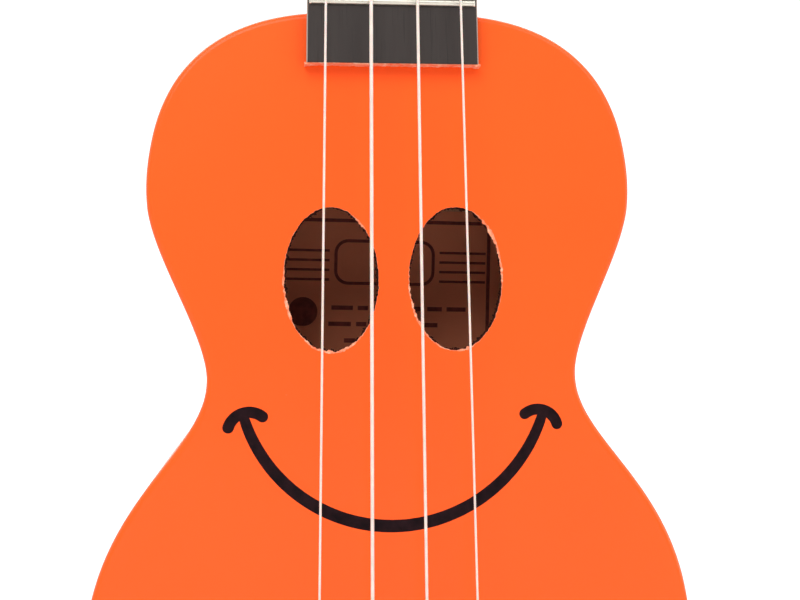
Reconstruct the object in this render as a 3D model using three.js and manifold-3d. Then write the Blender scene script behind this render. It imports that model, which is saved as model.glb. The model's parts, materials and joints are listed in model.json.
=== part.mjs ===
// Soprano ukulele: a hollow flat-backed body with two oval sound holes, a bolt-on style neck
// with twelve frets clear of the body, a slotted bridge, four nylon strings and four open
// geared tuners. Millimetres: the front faces -Y, the neck points along +Z, +X is the first
// string's side. The group's origin is on the neck's flat face where the headstock begins.

import * as THREE from 'three';
import { mergeVertices } from 'three/addons/utils/BufferGeometryUtils.js';
import Module from 'manifold-3d';

const wasm = await Module();
wasm.setup();

// Body plan: half widths (x) at heights (z) above the tail, with the reach of the curve's
// handles above and below each point.
const BODY_LENGTH = 238.5;
const TOP_FLAT = 8;
const UPPER_BOUT = { x: 59.5, z: 193.5, above: 54, below: 12.5 };
const WAIST = { x: 45.75, z: 149.5, above: 11.5, below: 18.5 };
const LOWER_BOUT = { x: 75.75, z: 79.5, above: 40.5, below: 43 };
const TAIL_FLAT = 42;
const CURVE_STEPS = 12;

// Body thicknesses, as depths along Y from the soundboard's outer face at y = 0.
const BODY_DEPTH = 56;
const PLATE = 1.75;
const RIM = 1.75;
const GLUE = 0.05;
const BACK_INNER = BODY_DEPTH - PLATE;

// Sound holes
const HOLE_X = 15.375;
const HOLE_Z = 173.5;
const HOLE_HALF_WIDTH = 11.65;
const HOLE_HALF_HEIGHT = 17.85;

// Inner frame
const BLOCK_HALF_WIDTH = 24;
const BLOCK_LENGTH = 14;
const LINING_WIDTH = 5;
const LINING_HEIGHT = 10;
const BRACE_WIDTH = 7;
const BRACE_HEIGHT = 9;
const BRACE_END = 3;

// Scale: frets sit at SCALE / 2^(n/12) above the saddle.
const SADDLE_Z = 68.15;
const SCALE = 345;
const NUT_Z = SADDLE_Z + SCALE;
const FRET_COUNT = 12;
const FRET_WIDTH = 1.6;
const FRET_HEIGHT = 0.9;
const FRET_INSET = 0.5;

// Neck and fretboard
const BOARD_END_Z = 226;
const BOARD_THICKNESS = 4;
const BOARD_HALF_AT_END = 20.9;
const BOARD_HALF_AT_NUT = 17.5;
const NUT_LENGTH = 5;
const NUT_HEIGHT = 6.25;
const HEAD_START_Z = NUT_Z + NUT_LENGTH;
const SHAFT_DEPTH_AT_NUT = 14.5;
const SHAFT_DEPTH_AT_HEEL = 17;
const HEEL_DEPTH = 51;
const HEEL_LENGTH = 27;
const NECK_SIDES = 18;

// Headstock, in its own plane: u across, v along it from the nut, w out of its front face.
const HEAD_TILT = THREE.MathUtils.degToRad(12);
const HEAD_LENGTH = 116;
const HEAD_THICKNESS = 12;
const HEAD_SHOULDER = { u: 28, v: 30 };
const HEAD_WAIST = { u: 25.5, v: 66 };
const HEAD_CROWN = { u: 28.5, v: 102 };

// Strings: G, C, E and A from the bass side, with their places across the span.
const STRINGS = [
  { name: 'g', across: 0, diameter: 0.58, post: 0, side: -1 },
  { name: 'c', across: 0.332, diameter: 0.88, post: 1, side: -1 },
  { name: 'e', across: 0.676, diameter: 0.74, post: 1, side: 1 },
  { name: 'a', across: 1, diameter: 0.56, post: 0, side: 1 },
];
const SPAN_AT_NUT = 25.2;
const SPAN_AT_SADDLE = 39.2;
const UNDER_STRING_AT_NUT = 5.3;
const UNDER_STRING_AT_SADDLE = 9.2;
const STRING_SIDES = 8;
const STRING_CLEARANCE = 0.05;

// Bridge and saddle
const BRIDGE_HALF_WIDTH = 36;
const BRIDGE_BLOCK_HALF_WIDTH = 25;
const BRIDGE_LOW_Z = 56;
const BRIDGE_HIGH_Z = 75;
const BRIDGE_WING_HEIGHT = 3;
const BRIDGE_BLOCK_HEIGHT = 7;
const SADDLE_THICKNESS = 2.5;
const SADDLE_HALF_LENGTH = 22.75;
const SADDLE_SEAT = 3.5;
const STRING_SLOT_WIDTH = 1.3;
const STRING_SLOT_FLOOR = 2.2;
const STRING_SLOT_TOP_Z = 65.5;
const STRING_IN_SLOT = 2.9;
const KNOT_RADIUS = 1.5;

// Tuners: a single-start worm drives a gear on the foot of each string post.
const POST_U = 16.5;
const POST_V = [38, 78];
const POST_RADIUS = 3;
const POST_TIP = 12.5;
const POST_HOLE_CLEARANCE = 0.1;
const POST_FOOT_RADIUS = 2;
const STRING_HOLE_W = 9.6;
const STRING_HOLE_RADIUS = 0.9;
const GEAR_TEETH = 14;
const GEAR_MODULE = 0.75;
const GEAR_THICKNESS = 3;
const GEAR_ADDENDUM = 0.65;
const GEAR_DEDENDUM = 0.94;
const BACKLASH = 0.14;
const PRESSURE_ANGLE = THREE.MathUtils.degToRad(20);
const WORM_PITCH_RADIUS = 2.5;
const WORM_CORE_RADIUS = 1.5;
const WORM_TURNS = 3;
const WORM_STEPS_PER_TURN = 16;
const GEAR_PITCH_RADIUS = GEAR_MODULE * GEAR_TEETH / 2;
const WORM_LEAD = Math.PI * GEAR_MODULE;
const MESH_DISTANCE = GEAR_PITCH_RADIUS + WORM_PITCH_RADIUS;
const PLATE_THICKNESS = 1;
const SEAT_GAP = 0.05;
const PLATE_BACK_W = -(HEAD_THICKNESS + SEAT_GAP + PLATE_THICKNESS);
const MESH_W = PLATE_BACK_W - 3.55;
const LUG_INNER = 5.6;
const LUG_THICKNESS = 1.2;
const LUG_HALF_WIDTH = 3.2;
const LUG_HOLE_RADIUS = 1.65;
const SHAFT_INNER_END = 7.4;
const BUTTON_START_U = 30.5;
const BUTTON_LENGTH = 17;
const WINDING_TURNS = 3.25;
const WINDING_STEPS_PER_TURN = 14;
const WINDING_W = 5.2;

const MATERIALS = {
  painted_top: { color: 0xff6c30, roughness: 0.45, metalness: 0 },
  painted_body: { color: 0xff6426, roughness: 0.5, metalness: 0 },
  raw_wood: { color: 0xd9b98a, roughness: 0.8, metalness: 0 },
  neck_wood: { color: 0x8a4f2c, roughness: 0.5, metalness: 0 },
  fretboard: { color: 0x463d3b, roughness: 0.65, metalness: 0 },
  bridge_wood: { color: 0x40332d, roughness: 0.6, metalness: 0 },
  fret_metal: { color: 0xcfcabb, roughness: 0.35, metalness: 1 },
  bone: { color: 0xede4cf, roughness: 0.45, metalness: 0 },
  nylon: { color: 0xf1efea, roughness: 0.3, metalness: 0 },
  nickel: { color: 0xc9c8c4, roughness: 0.3, metalness: 1 },
  tuner_button: { color: 0xf2ead8, roughness: 0.4, metalness: 0 },
};

const ukulele = new THREE.Group();
ukulele.position.z = -HEAD_START_Z;

const headstockFrame = new THREE.Group();
headstockFrame.position.z = HEAD_START_Z;
headstockFrame.rotation.x = Math.PI / 2 - HEAD_TILT;
ukulele.add(headstockFrame);

function addPart(name, slot, geometry, parent = ukulele) {
  const material = new THREE.MeshStandardMaterial(MATERIALS[slot]);
  const mesh = new THREE.Mesh(geometry, material);
  mesh.name = name;
  parent.add(mesh);
  return mesh;
}

// ---- Solid helpers ----

function bareGeometry(geometry) {
  const bare = geometry.clone();
  bare.deleteAttribute('normal');
  bare.deleteAttribute('uv');
  return mergeVertices(bare, 1e-4);
}

function toSolid(geometry) {
  const merged = bareGeometry(geometry);
  return new wasm.Manifold(new wasm.Mesh({
    numProp: 3,
    vertProperties: Float32Array.from(merged.attributes.position.array),
    triVerts: Uint32Array.from(merged.index.array),
  }));
}

function toGeometry(solid) {
  const mesh = solid.getMesh();
  const geometry = new THREE.BufferGeometry();
  geometry.setAttribute('position', new THREE.BufferAttribute(mesh.vertProperties, mesh.numProp));
  geometry.setIndex(new THREE.BufferAttribute(mesh.triVerts, 1));
  geometry.computeVertexNormals();
  return geometry;
}

function cut(geometry, ...tools) {
  let solid = toSolid(geometry);
  for (const tool of tools) {
    solid = solid.subtract(toSolid(tool));
  }
  return toGeometry(solid);
}

function join(geometry, ...others) {
  let solid = toSolid(geometry);
  for (const other of others) {
    solid = solid.add(toSolid(other));
  }
  return toGeometry(solid);
}

function common(geometry, other) {
  return toGeometry(toSolid(geometry).intersect(toSolid(other)));
}

// A box between two opposite corners.
function box(low, high) {
  const geometry = new THREE.BoxGeometry(high[0] - low[0], high[1] - low[1], high[2] - low[2]);
  geometry.translate((low[0] + high[0]) / 2, (low[1] + high[1]) / 2, (low[2] + high[2]) / 2);
  return geometry;
}

// A plan shape of (x, z) points given thickness along Y, with optional holes.
function slab(points, yFront, yBack, holes = []) {
  const shape = new THREE.Shape(points);
  shape.holes = holes.map((hole) => new THREE.Path(hole));
  const depth = yBack - yFront;
  const geometry = new THREE.ExtrudeGeometry(shape, { depth, bevelEnabled: false });
  const position = geometry.attributes.position;
  for (let i = 0; i < position.count; i += 1) {
    position.setXYZ(i, position.getX(i), yBack - position.getZ(i), position.getY(i));
  }
  return geometry;
}

// A profile of (z, y) points run along X from one place to another.
function bar(points, xLow, xHigh) {
  const shape = new THREE.Shape(points);
  const depth = xHigh - xLow;
  const geometry = new THREE.ExtrudeGeometry(shape, { depth, bevelEnabled: false });
  const position = geometry.attributes.position;
  for (let i = 0; i < position.count; i += 1) {
    position.setXYZ(i, xHigh - position.getZ(i), position.getY(i), position.getX(i));
  }
  return geometry;
}

// A round rod along a local axis ('x' or 'z') between two places on it.
function rod(axis, radius, from, to, sides, centre = [0, 0]) {
  const geometry = new THREE.CylinderGeometry(radius, radius, to - from, sides);
  const middle = (from + to) / 2;
  if (axis === 'x') {
    geometry.rotateZ(Math.PI / 2);
    geometry.translate(middle, centre[0], centre[1]);
  } else {
    geometry.rotateX(Math.PI / 2);
    geometry.translate(centre[0], centre[1], middle);
  }
  return geometry;
}

// A closed solid through a row of rings that have the same number of points.
function loft(rings) {
  const count = rings[0].length;
  const positions = rings.flat().flatMap((p) => [p.x, p.y, p.z]);
  const index = [];
  for (let r = 0; r < rings.length - 1; r += 1) {
    for (let i = 0; i < count; i += 1) {
      const a = r * count + i;
      const b = r * count + (i + 1) % count;
      index.push(a, b, b + count, a, b + count, a + count);
    }
  }
  const addCap = (start, order) => {
    const centre = new THREE.Vector3();
    for (let i = 0; i < count; i += 1) {
      centre.add(new THREE.Vector3(...positions.slice(3 * (start + i), 3 * (start + i) + 3)));
    }
    centre.divideScalar(count);
    const tip = positions.length / 3;
    positions.push(centre.x, centre.y, centre.z);
    for (let i = 0; i < count; i += 1) {
      const next = start + (i + 1) % count;
      index.push(...(order > 0 ? [start + i, next, tip] : [next, start + i, tip]));
    }
  };
  addCap(0, -1);
  addCap((rings.length - 1) * count, 1);
  const geometry = new THREE.BufferGeometry();
  geometry.setAttribute('position', new THREE.Float32BufferAttribute(positions, 3));
  geometry.setIndex(enclosedVolume(positions, index) > 0 ? index : index.reverse());
  geometry.computeVertexNormals();
  return geometry;
}

function enclosedVolume(positions, index) {
  const corner = (i) => new THREE.Vector3().fromArray(positions, 3 * index[i]);
  let volume = 0;
  for (let i = 0; i < index.length; i += 3) {
    volume += corner(i).dot(corner(i + 1).cross(corner(i + 2))) / 6;
  }
  return volume;
}

// A round tube through a list of points, mitred at each bend. `across` is any direction
// that the tube never runs along.
function tube(points, radius, sides, across = new THREE.Vector3(1, 0, 0)) {
  const rings = points.map((point, i) => {
    const before = points[Math.max(i - 1, 0)];
    const after = points[Math.min(i + 1, points.length - 1)];
    const along = after.clone().sub(before).normalize();
    const side = across.clone().addScaledVector(along, -across.dot(along)).normalize();
    const up = along.clone().cross(side);
    return circle(sides).map((c) => point.clone()
      .addScaledVector(side, radius * c.x)
      .addScaledVector(up, radius * c.y));
  });
  return loft(rings);
}

function circle(sides) {
  return Array.from({ length: sides }, (_, i) => {
    const angle = 2 * Math.PI * i / sides;
    return new THREE.Vector2(Math.cos(angle), Math.sin(angle));
  });
}

// ---- Body ----

// The right half of the body's plan from the neck end to the tail, moved inwards by `inset`.
function halfPlan(inset) {
  const path = new THREE.Path();
  const up = UPPER_BOUT;
  const low = LOWER_BOUT;
  path.moveTo(0, BODY_LENGTH);
  path.bezierCurveTo(TOP_FLAT, BODY_LENGTH, up.x, up.z + up.above, up.x, up.z);
  path.bezierCurveTo(up.x, up.z - up.below, WAIST.x, WAIST.z + WAIST.above, WAIST.x, WAIST.z);
  path.bezierCurveTo(WAIST.x, WAIST.z - WAIST.below, low.x, low.z + low.above, low.x, low.z);
  path.bezierCurveTo(low.x, low.z - low.below, TAIL_FLAT, 0, 0, 0);
  const points = path.getPoints(CURVE_STEPS);
  return points.map((point, i) => {
    if (i === 0 || i === points.length - 1) {
      return new THREE.Vector2(0, i === 0 ? point.y - inset : point.y + inset);
    }
    const along = points[i + 1].clone().sub(points[i - 1]).normalize();
    return new THREE.Vector2(point.x + inset * along.y, point.y - inset * along.x);
  });
}

function mirrored(points) {
  return points.map((p) => new THREE.Vector2(-p.x, p.y));
}

function fullPlan(inset) {
  const right = halfPlan(inset);
  const left = mirrored(right).slice(1, -1).reverse();
  return [...right, ...left];
}

// One half of a wall that follows the plan, on the bass (-1) or treble (1) side.
function halfWall(side, outerInset, innerInset, yFront, yBack) {
  const ring = [...halfPlan(outerInset), ...halfPlan(innerInset).reverse()];
  return slab(side > 0 ? ring : mirrored(ring), yFront, yBack);
}

function soundHole(side) {
  const curve = new THREE.EllipseCurve(side * HOLE_X, HOLE_Z, HOLE_HALF_WIDTH, HOLE_HALF_HEIGHT);
  return curve.getPoints(44).slice(0, -1);
}

function halfWidthInside(z) {
  const plan = halfPlan(RIM + GLUE + LINING_WIDTH + GLUE);
  const i = plan.findIndex((point) => point.y < z);
  const t = (z - plan[i].y) / (plan[i - 1].y - plan[i].y);
  return THREE.MathUtils.lerp(plan[i].x, plan[i - 1].x, t);
}

// A cross brace between the linings, thinned towards its ends. `inward` is 1 for a brace
// under the top and -1 for one on the back.
function brace(z, yFace, inward) {
  const reach = Math.min(halfWidthInside(z - BRACE_WIDTH / 2), halfWidthInside(z + BRACE_WIDTH / 2)) - 0.5;
  const flat = 0.6 * reach;
  const face = yFace;
  const points = [
    [-reach, face], [reach, face], [reach, face + inward * BRACE_END],
    [flat, face + inward * BRACE_HEIGHT], [-flat, face + inward * BRACE_HEIGHT],
    [-reach, face + inward * BRACE_END],
  ].map(([x, y]) => new THREE.Vector2(x, y));
  const shape = new THREE.Shape(points);
  const geometry = new THREE.ExtrudeGeometry(shape, { depth: BRACE_WIDTH, bevelEnabled: false });
  geometry.translate(0, 0, z - BRACE_WIDTH / 2);
  return geometry;
}

function addBody() {
  const holes = [soundHole(-1), soundHole(1)];
  addPart('top_plate', 'painted_top', slab(fullPlan(0), 0, PLATE, holes));
  addPart('back_plate', 'painted_body', slab(fullPlan(0), BACK_INNER, BODY_DEPTH));
  addPart('rim_bass', 'painted_body', halfWall(-1, 0, RIM, PLATE, BACK_INNER));
  addPart('rim_treble', 'painted_body', halfWall(1, 0, RIM, PLATE, BACK_INNER));

  const inside = slab(fullPlan(RIM + GLUE), PLATE, BACK_INNER);
  const neckBlockLow = BODY_LENGTH - RIM - BLOCK_LENGTH;
  const tailBlockHigh = RIM + BLOCK_LENGTH;
  const half = BLOCK_HALF_WIDTH;
  const neckBlock = box([-half, 0, neckBlockLow], [half, BODY_DEPTH, BODY_LENGTH]);
  const tailBlock = box([-half, 0, 0], [half, BODY_DEPTH, tailBlockHigh]);
  addPart('neck_block', 'raw_wood', common(inside, neckBlock));
  addPart('tail_block', 'raw_wood', common(inside, tailBlock));

  const wide = half + 0.25;
  const roomForNeckBlock = box([-wide, -1, neckBlockLow - 5], [wide, BODY_DEPTH + 1, BODY_LENGTH + 1]);
  const roomForTailBlock = box([-wide, -1, -1], [wide, BODY_DEPTH + 1, tailBlockHigh + 5]);
  const outer = RIM + GLUE;
  const levels = { top: [PLATE, PLATE + LINING_HEIGHT], back: [BACK_INNER - LINING_HEIGHT, BACK_INNER] };
  for (const [level, [yFront, yBack]] of Object.entries(levels)) {
    for (const [sideName, side] of [['bass', -1], ['treble', 1]]) {
      const lining = halfWall(side, outer, outer + LINING_WIDTH, yFront, yBack);
      const trimmed = cut(lining, roomForNeckBlock, roomForTailBlock);
      addPart(`lining_${level}_${sideName}`, 'raw_wood', trimmed);
    }
  }

  addPart('brace_top_upper', 'raw_wood', brace(204, PLATE, 1));
  addPart('brace_top_lower', 'raw_wood', brace(144, PLATE, 1));
  addPart('brace_back_upper', 'raw_wood', brace(214, BACK_INNER, -1));
  addPart('brace_back_lower', 'raw_wood', brace(88, BACK_INNER, -1));
  addPart('bridge_patch', 'raw_wood', box([-38, PLATE, 52], [38, PLATE + 2.25, 80]));
}

// ---- Neck ----

function boardHalfWidth(z) {
  return THREE.MathUtils.mapLinear(z, BOARD_END_Z, NUT_Z, BOARD_HALF_AT_END, BOARD_HALF_AT_NUT);
}

function shaftDepth(z) {
  const shaft = THREE.MathUtils.mapLinear(z, BODY_LENGTH, HEAD_START_Z, SHAFT_DEPTH_AT_HEEL, SHAFT_DEPTH_AT_NUT);
  const heel = Math.max(0, 1 - (z - BODY_LENGTH) / HEEL_LENGTH);
  return shaft + (HEEL_DEPTH - SHAFT_DEPTH_AT_HEEL) * heel ** 2.2;
}

// A D-shaped section with its flat side in front.
function neckRing(z, halfWidth, yFront, depth) {
  return Array.from({ length: NECK_SIDES + 1 }, (_, i) => {
    const angle = Math.PI * i / NECK_SIDES;
    return new THREE.Vector3(halfWidth * Math.cos(angle), yFront + depth * Math.sin(angle) ** 0.85, z);
  });
}

function neckShaft() {
  const rings = [];
  const heelTop = BODY_LENGTH + HEEL_LENGTH;
  for (let z = BODY_LENGTH - 4; z < heelTop; z += 3) {
    rings.push(neckRing(z, boardHalfWidth(z), 0, Math.min(shaftDepth(z), HEEL_DEPTH)));
  }
  for (const z of [heelTop + 4, heelTop + 34, heelTop + 74, heelTop + 114, HEAD_START_Z]) {
    rings.push(neckRing(z, boardHalfWidth(z), 0, shaftDepth(z)));
  }
  for (const past of [7, 13]) {
    const front = past * Math.tan(HEAD_TILT) + 1;
    const back = SHAFT_DEPTH_AT_NUT - 0.05 * past;
    rings.push(neckRing(HEAD_START_Z + past, BOARD_HALF_AT_NUT - 0.2 * past, front, back - front));
  }
  return loft(rings);
}

function headstockShape() {
  const shoulder = HEAD_SHOULDER;
  const waist = HEAD_WAIST;
  const crown = HEAD_CROWN;
  const path = new THREE.Path();
  path.moveTo(BOARD_HALF_AT_NUT - 0.2, 0);
  path.bezierCurveTo(BOARD_HALF_AT_NUT, 12, shoulder.u, 15, shoulder.u, shoulder.v);
  path.bezierCurveTo(shoulder.u, 44, waist.u, 52, waist.u, waist.v);
  path.bezierCurveTo(waist.u, 82, crown.u, 86, crown.u, crown.v);
  path.bezierCurveTo(crown.u, 113, 14, 107, 0, HEAD_LENGTH);
  const right = path.getPoints(8);
  const left = mirrored(right).slice(0, -1).reverse();
  return new THREE.Shape([...right, ...left]);
}

function addNeck() {
  const bodySpace = slab(fullPlan(-GLUE), -1, BODY_DEPTH + 4);
  const head = new THREE.ExtrudeGeometry(headstockShape(), { depth: HEAD_THICKNESS, bevelEnabled: false });
  head.translate(0, 0, -HEAD_THICKNESS);
  const postHoles = [];
  for (const side of [-1, 1]) {
    for (const v of POST_V) {
      const radius = POST_RADIUS + POST_HOLE_CLEARANCE;
      postHoles.push(rod('z', radius, -HEAD_THICKNESS - 1, 1, 24, [side * POST_U, v]));
    }
  }
  const drilled = cut(head, ...postHoles);
  headstockFrame.updateMatrix();
  drilled.applyMatrix4(headstockFrame.matrix);
  addPart('neck', 'neck_wood', cut(join(neckShaft(), drilled), bodySpace));

  const low = BOARD_HALF_AT_END;
  const high = BOARD_HALF_AT_NUT;
  const plan = [[-low, BOARD_END_Z], [low, BOARD_END_Z], [high, NUT_Z], [-high, NUT_Z]];
  const points = plan.map(([x, z]) => new THREE.Vector2(x, z));
  addPart('fretboard', 'fretboard', slab(points, -BOARD_THICKNESS, 0));
  addPart('nut', 'bone', nutGeometry());

  for (let n = 1; n <= FRET_COUNT; n += 1) {
    const z = SADDLE_Z + SCALE / 2 ** (n / 12);
    addPart(`fret_${String(n).padStart(2, '0')}`, 'fret_metal', fretGeometry(z));
  }
}

function fretGeometry(z) {
  const base = -BOARD_THICKNESS;
  const half = FRET_WIDTH / 2;
  const profile = [
    [-half, 0], [half, 0], [0.85 * half, -0.55 * FRET_HEIGHT], [0.4 * half, -FRET_HEIGHT],
    [-0.4 * half, -FRET_HEIGHT], [-0.85 * half, -0.55 * FRET_HEIGHT],
  ].map(([dz, dy]) => new THREE.Vector2(z + dz, base + dy));
  const reach = boardHalfWidth(z) - FRET_INSET;
  return bar(profile, -reach, reach);
}

function nutGeometry() {
  const slots = STRINGS.map((string) => {
    const x = stringX(string, NUT_Z);
    const half = string.diameter / 2 + 0.15;
    const floor = -(UNDER_STRING_AT_NUT - STRING_CLEARANCE);
    return box([x - half, -NUT_HEIGHT - 1, NUT_Z - 1], [x + half, floor, NUT_Z + NUT_LENGTH + 1]);
  });
  const profile = [
    [NUT_Z, 0], [NUT_Z, -NUT_HEIGHT], [NUT_Z + 2, -NUT_HEIGHT],
    [NUT_Z + NUT_LENGTH, -NUT_HEIGHT + 1.5], [NUT_Z + NUT_LENGTH, 0],
  ].map(([z, y]) => new THREE.Vector2(z, y));
  return cut(bar(profile, -BOARD_HALF_AT_NUT, BOARD_HALF_AT_NUT), ...slots);
}

// ---- Bridge ----

function stringX(string, z) {
  const span = THREE.MathUtils.mapLinear(z, SADDLE_Z, NUT_Z, SPAN_AT_SADDLE, SPAN_AT_NUT);
  return span * (string.across - 0.5);
}

function addBridge() {
  const wing = [
    [-BRIDGE_HALF_WIDTH, BRIDGE_LOW_Z + 3], [-BRIDGE_HALF_WIDTH + 4, BRIDGE_LOW_Z],
    [BRIDGE_HALF_WIDTH - 4, BRIDGE_LOW_Z], [BRIDGE_HALF_WIDTH, BRIDGE_LOW_Z + 3],
    [BRIDGE_HALF_WIDTH, BRIDGE_HIGH_Z - 3], [BRIDGE_HALF_WIDTH - 4, BRIDGE_HIGH_Z],
    [-BRIDGE_HALF_WIDTH + 4, BRIDGE_HIGH_Z], [-BRIDGE_HALF_WIDTH, BRIDGE_HIGH_Z - 3],
  ].map(([x, z]) => new THREE.Vector2(x, z));
  const half = BRIDGE_BLOCK_HALF_WIDTH;
  const block = box([-half, -BRIDGE_BLOCK_HEIGHT, BRIDGE_LOW_Z], [half, 0, BRIDGE_HIGH_Z]);
  const blank = join(slab(wing, -BRIDGE_WING_HEIGHT, 0), block);
  const seatHalf = SADDLE_THICKNESS / 2 + STRING_CLEARANCE;
  const seatLow = [-SADDLE_HALF_LENGTH - 0.25, -BRIDGE_BLOCK_HEIGHT - 1, SADDLE_Z - seatHalf];
  const seatHigh = [SADDLE_HALF_LENGTH + 0.25, -SADDLE_SEAT, SADDLE_Z + seatHalf];
  const slots = STRINGS.map((string) => {
    const x = stringX(string, SADDLE_Z);
    const w = STRING_SLOT_WIDTH / 2;
    return box([x - w, -BRIDGE_BLOCK_HEIGHT - 1, BRIDGE_LOW_Z - 1], [x + w, -STRING_SLOT_FLOOR, STRING_SLOT_TOP_Z]);
  });
  addPart('bridge', 'bridge_wood', cut(blank, box(seatLow, seatHigh), ...slots));

  const t = SADDLE_THICKNESS / 2;
  const crest = UNDER_STRING_AT_SADDLE - STRING_CLEARANCE;
  const profile = [
    [-t, -SADDLE_SEAT], [t, -SADDLE_SEAT], [t, -crest + 0.8], [0.4 * t, -crest],
    [-0.4 * t, -crest], [-t, -crest + 0.8],
  ].map(([dz, y]) => new THREE.Vector2(SADDLE_Z + dz, y));
  addPart('saddle', 'bone', bar(profile, -SADDLE_HALF_LENGTH, SADDLE_HALF_LENGTH));
}

// ---- Strings ----

function headPoint(u, v, w) {
  return new THREE.Vector3(u, v, w).applyMatrix4(headstockFrame.matrix);
}

// Where a string ends: on its way to the inner side of its post, just short of the winding.
function stringEnd(string) {
  const radius = string.diameter / 2;
  const coil = POST_RADIUS + 2 * radius;
  const start = new THREE.Vector2(stringX(string, NUT_Z), 0);
  const centre = new THREE.Vector2(string.side * POST_U, POST_V[string.post]);
  const reach = centre.clone().sub(start);
  const touch = POST_RADIUS + radius;
  const turn = string.side * Math.asin(touch / reach.length());
  const direction = reach.clone().normalize().rotateAround(new THREE.Vector2(), turn);
  const clearOfCoil = Math.sqrt((coil + 0.3) ** 2 - (touch - radius) ** 2);
  const length = Math.sqrt(reach.lengthSq() - touch ** 2) - clearOfCoil;
  const end = start.addScaledVector(direction, length);
  return headPoint(end.x, end.y, WINDING_W + 1.2);
}

function addStrings() {
  for (const string of STRINGS) {
    const radius = string.diameter / 2;
    const xSaddle = stringX(string, SADDLE_Z);
    const xNut = stringX(string, NUT_Z);
    const overSaddle = -(UNDER_STRING_AT_SADDLE + radius);
    const overNut = -(UNDER_STRING_AT_NUT + radius);
    const route = [
      [xSaddle, -STRING_IN_SLOT, BRIDGE_LOW_Z - 1.8],
      [xSaddle, -STRING_IN_SLOT, BRIDGE_LOW_Z + 1.2],
      [xSaddle, -STRING_IN_SLOT - 0.5, BRIDGE_LOW_Z + 2.6],
      [xSaddle, overSaddle + 0.7, SADDLE_Z - 1.9],
      [xSaddle, overSaddle, SADDLE_Z - 0.4],
      [xSaddle, overSaddle, SADDLE_Z + 0.6],
      [xNut, overNut, NUT_Z + 0.5],
      [xNut, overNut, NUT_Z + NUT_LENGTH],
    ].map(([x, y, z]) => new THREE.Vector3(x, y, z));
    route.push(stringEnd(string));
    const knot = new THREE.SphereGeometry(KNOT_RADIUS, 10, 6);
    knot.translate(xSaddle, -STRING_IN_SLOT, BRIDGE_LOW_Z - 1.8);
    addPart(`string_${string.name}`, 'nylon', join(tube(route, radius, STRING_SIDES), knot));
  }
}

// ---- Tuners ----

function involute(angle) {
  return Math.tan(angle) - angle;
}

// Half the angle that a gear tooth fills at a radius, from the involute of its base circle.
function halfToothAngle(radius) {
  const baseRadius = GEAR_PITCH_RADIUS * Math.cos(PRESSURE_ANGLE);
  const pressure = Math.acos(Math.min(1, baseRadius / radius));
  const atPitch = (Math.PI * GEAR_MODULE / 2 - BACKLASH) / (2 * GEAR_PITCH_RADIUS);
  return atPitch + involute(PRESSURE_ANGLE) - involute(pressure);
}

function gearRing(w, turn) {
  const radii = [GEAR_PITCH_RADIUS - GEAR_DEDENDUM, GEAR_PITCH_RADIUS, GEAR_PITCH_RADIUS + GEAR_ADDENDUM];
  const ring = [];
  for (let tooth = 0; tooth < GEAR_TEETH; tooth += 1) {
    const middle = turn + 2 * Math.PI * tooth / GEAR_TEETH;
    const rise = radii.map((radius) => [radius, middle - halfToothAngle(radius)]);
    const fall = radii.map((radius) => [radius, middle + halfToothAngle(radius)]).reverse();
    for (const [radius, angle] of [...rise, ...fall]) {
      ring.push(new THREE.Vector3(radius * Math.cos(angle), radius * Math.sin(angle), w));
    }
  }
  return ring;
}

// The gear's teeth lean with the worm's thread, so that they mesh on crossed axes.
function gearGeometry() {
  const twistPerLength = WORM_LEAD / (2 * Math.PI * WORM_PITCH_RADIUS) / GEAR_PITCH_RADIUS;
  const half = GEAR_THICKNESS / 2;
  const rings = [-half, half].map((w) => gearRing(MESH_W + w, twistPerLength * w));
  const bore = rod('z', POST_FOOT_RADIUS + SEAT_GAP, MESH_W - half - 1, MESH_W + half + 1, 16);
  return cut(loft(rings), bore);
}

// A right-handed thread on a shaft along u, with one thread centred on the gear's tooth gap.
function wormGeometry(side) {
  const inner = WORM_CORE_RADIUS - 0.1;
  const outer = WORM_PITCH_RADIUS + GEAR_ADDENDUM;
  const slope = Math.tan(PRESSURE_ANGLE);
  const atPitch = (WORM_LEAD / 2 - BACKLASH) / 2;
  const halfInner = atPitch + slope * (WORM_PITCH_RADIUS - inner);
  const halfOuter = atPitch - slope * (outer - WORM_PITCH_RADIUS);
  const section = [[inner, -halfInner], [outer, -halfOuter], [outer, halfOuter], [inner, halfInner]];
  const steps = WORM_TURNS * WORM_STEPS_PER_TURN;
  const rings = [];
  for (let i = 0; i <= steps; i += 1) {
    const turns = i / WORM_STEPS_PER_TURN - WORM_TURNS / 2;
    const angle = Math.PI + 2 * Math.PI * turns;
    rings.push(section.map(([radius, du]) => new THREE.Vector3(
      turns * WORM_LEAD + du, radius * Math.cos(angle), radius * Math.sin(angle),
    )));
  }
  const toButton = BUTTON_START_U + 7 - POST_U;
  const ends = side > 0 ? [-SHAFT_INNER_END, toButton] : [-toButton, SHAFT_INNER_END];
  const shaft = rod('x', WORM_CORE_RADIUS, ends[0], ends[1], 20);
  return join(shaft, loft(rings));
}

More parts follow.
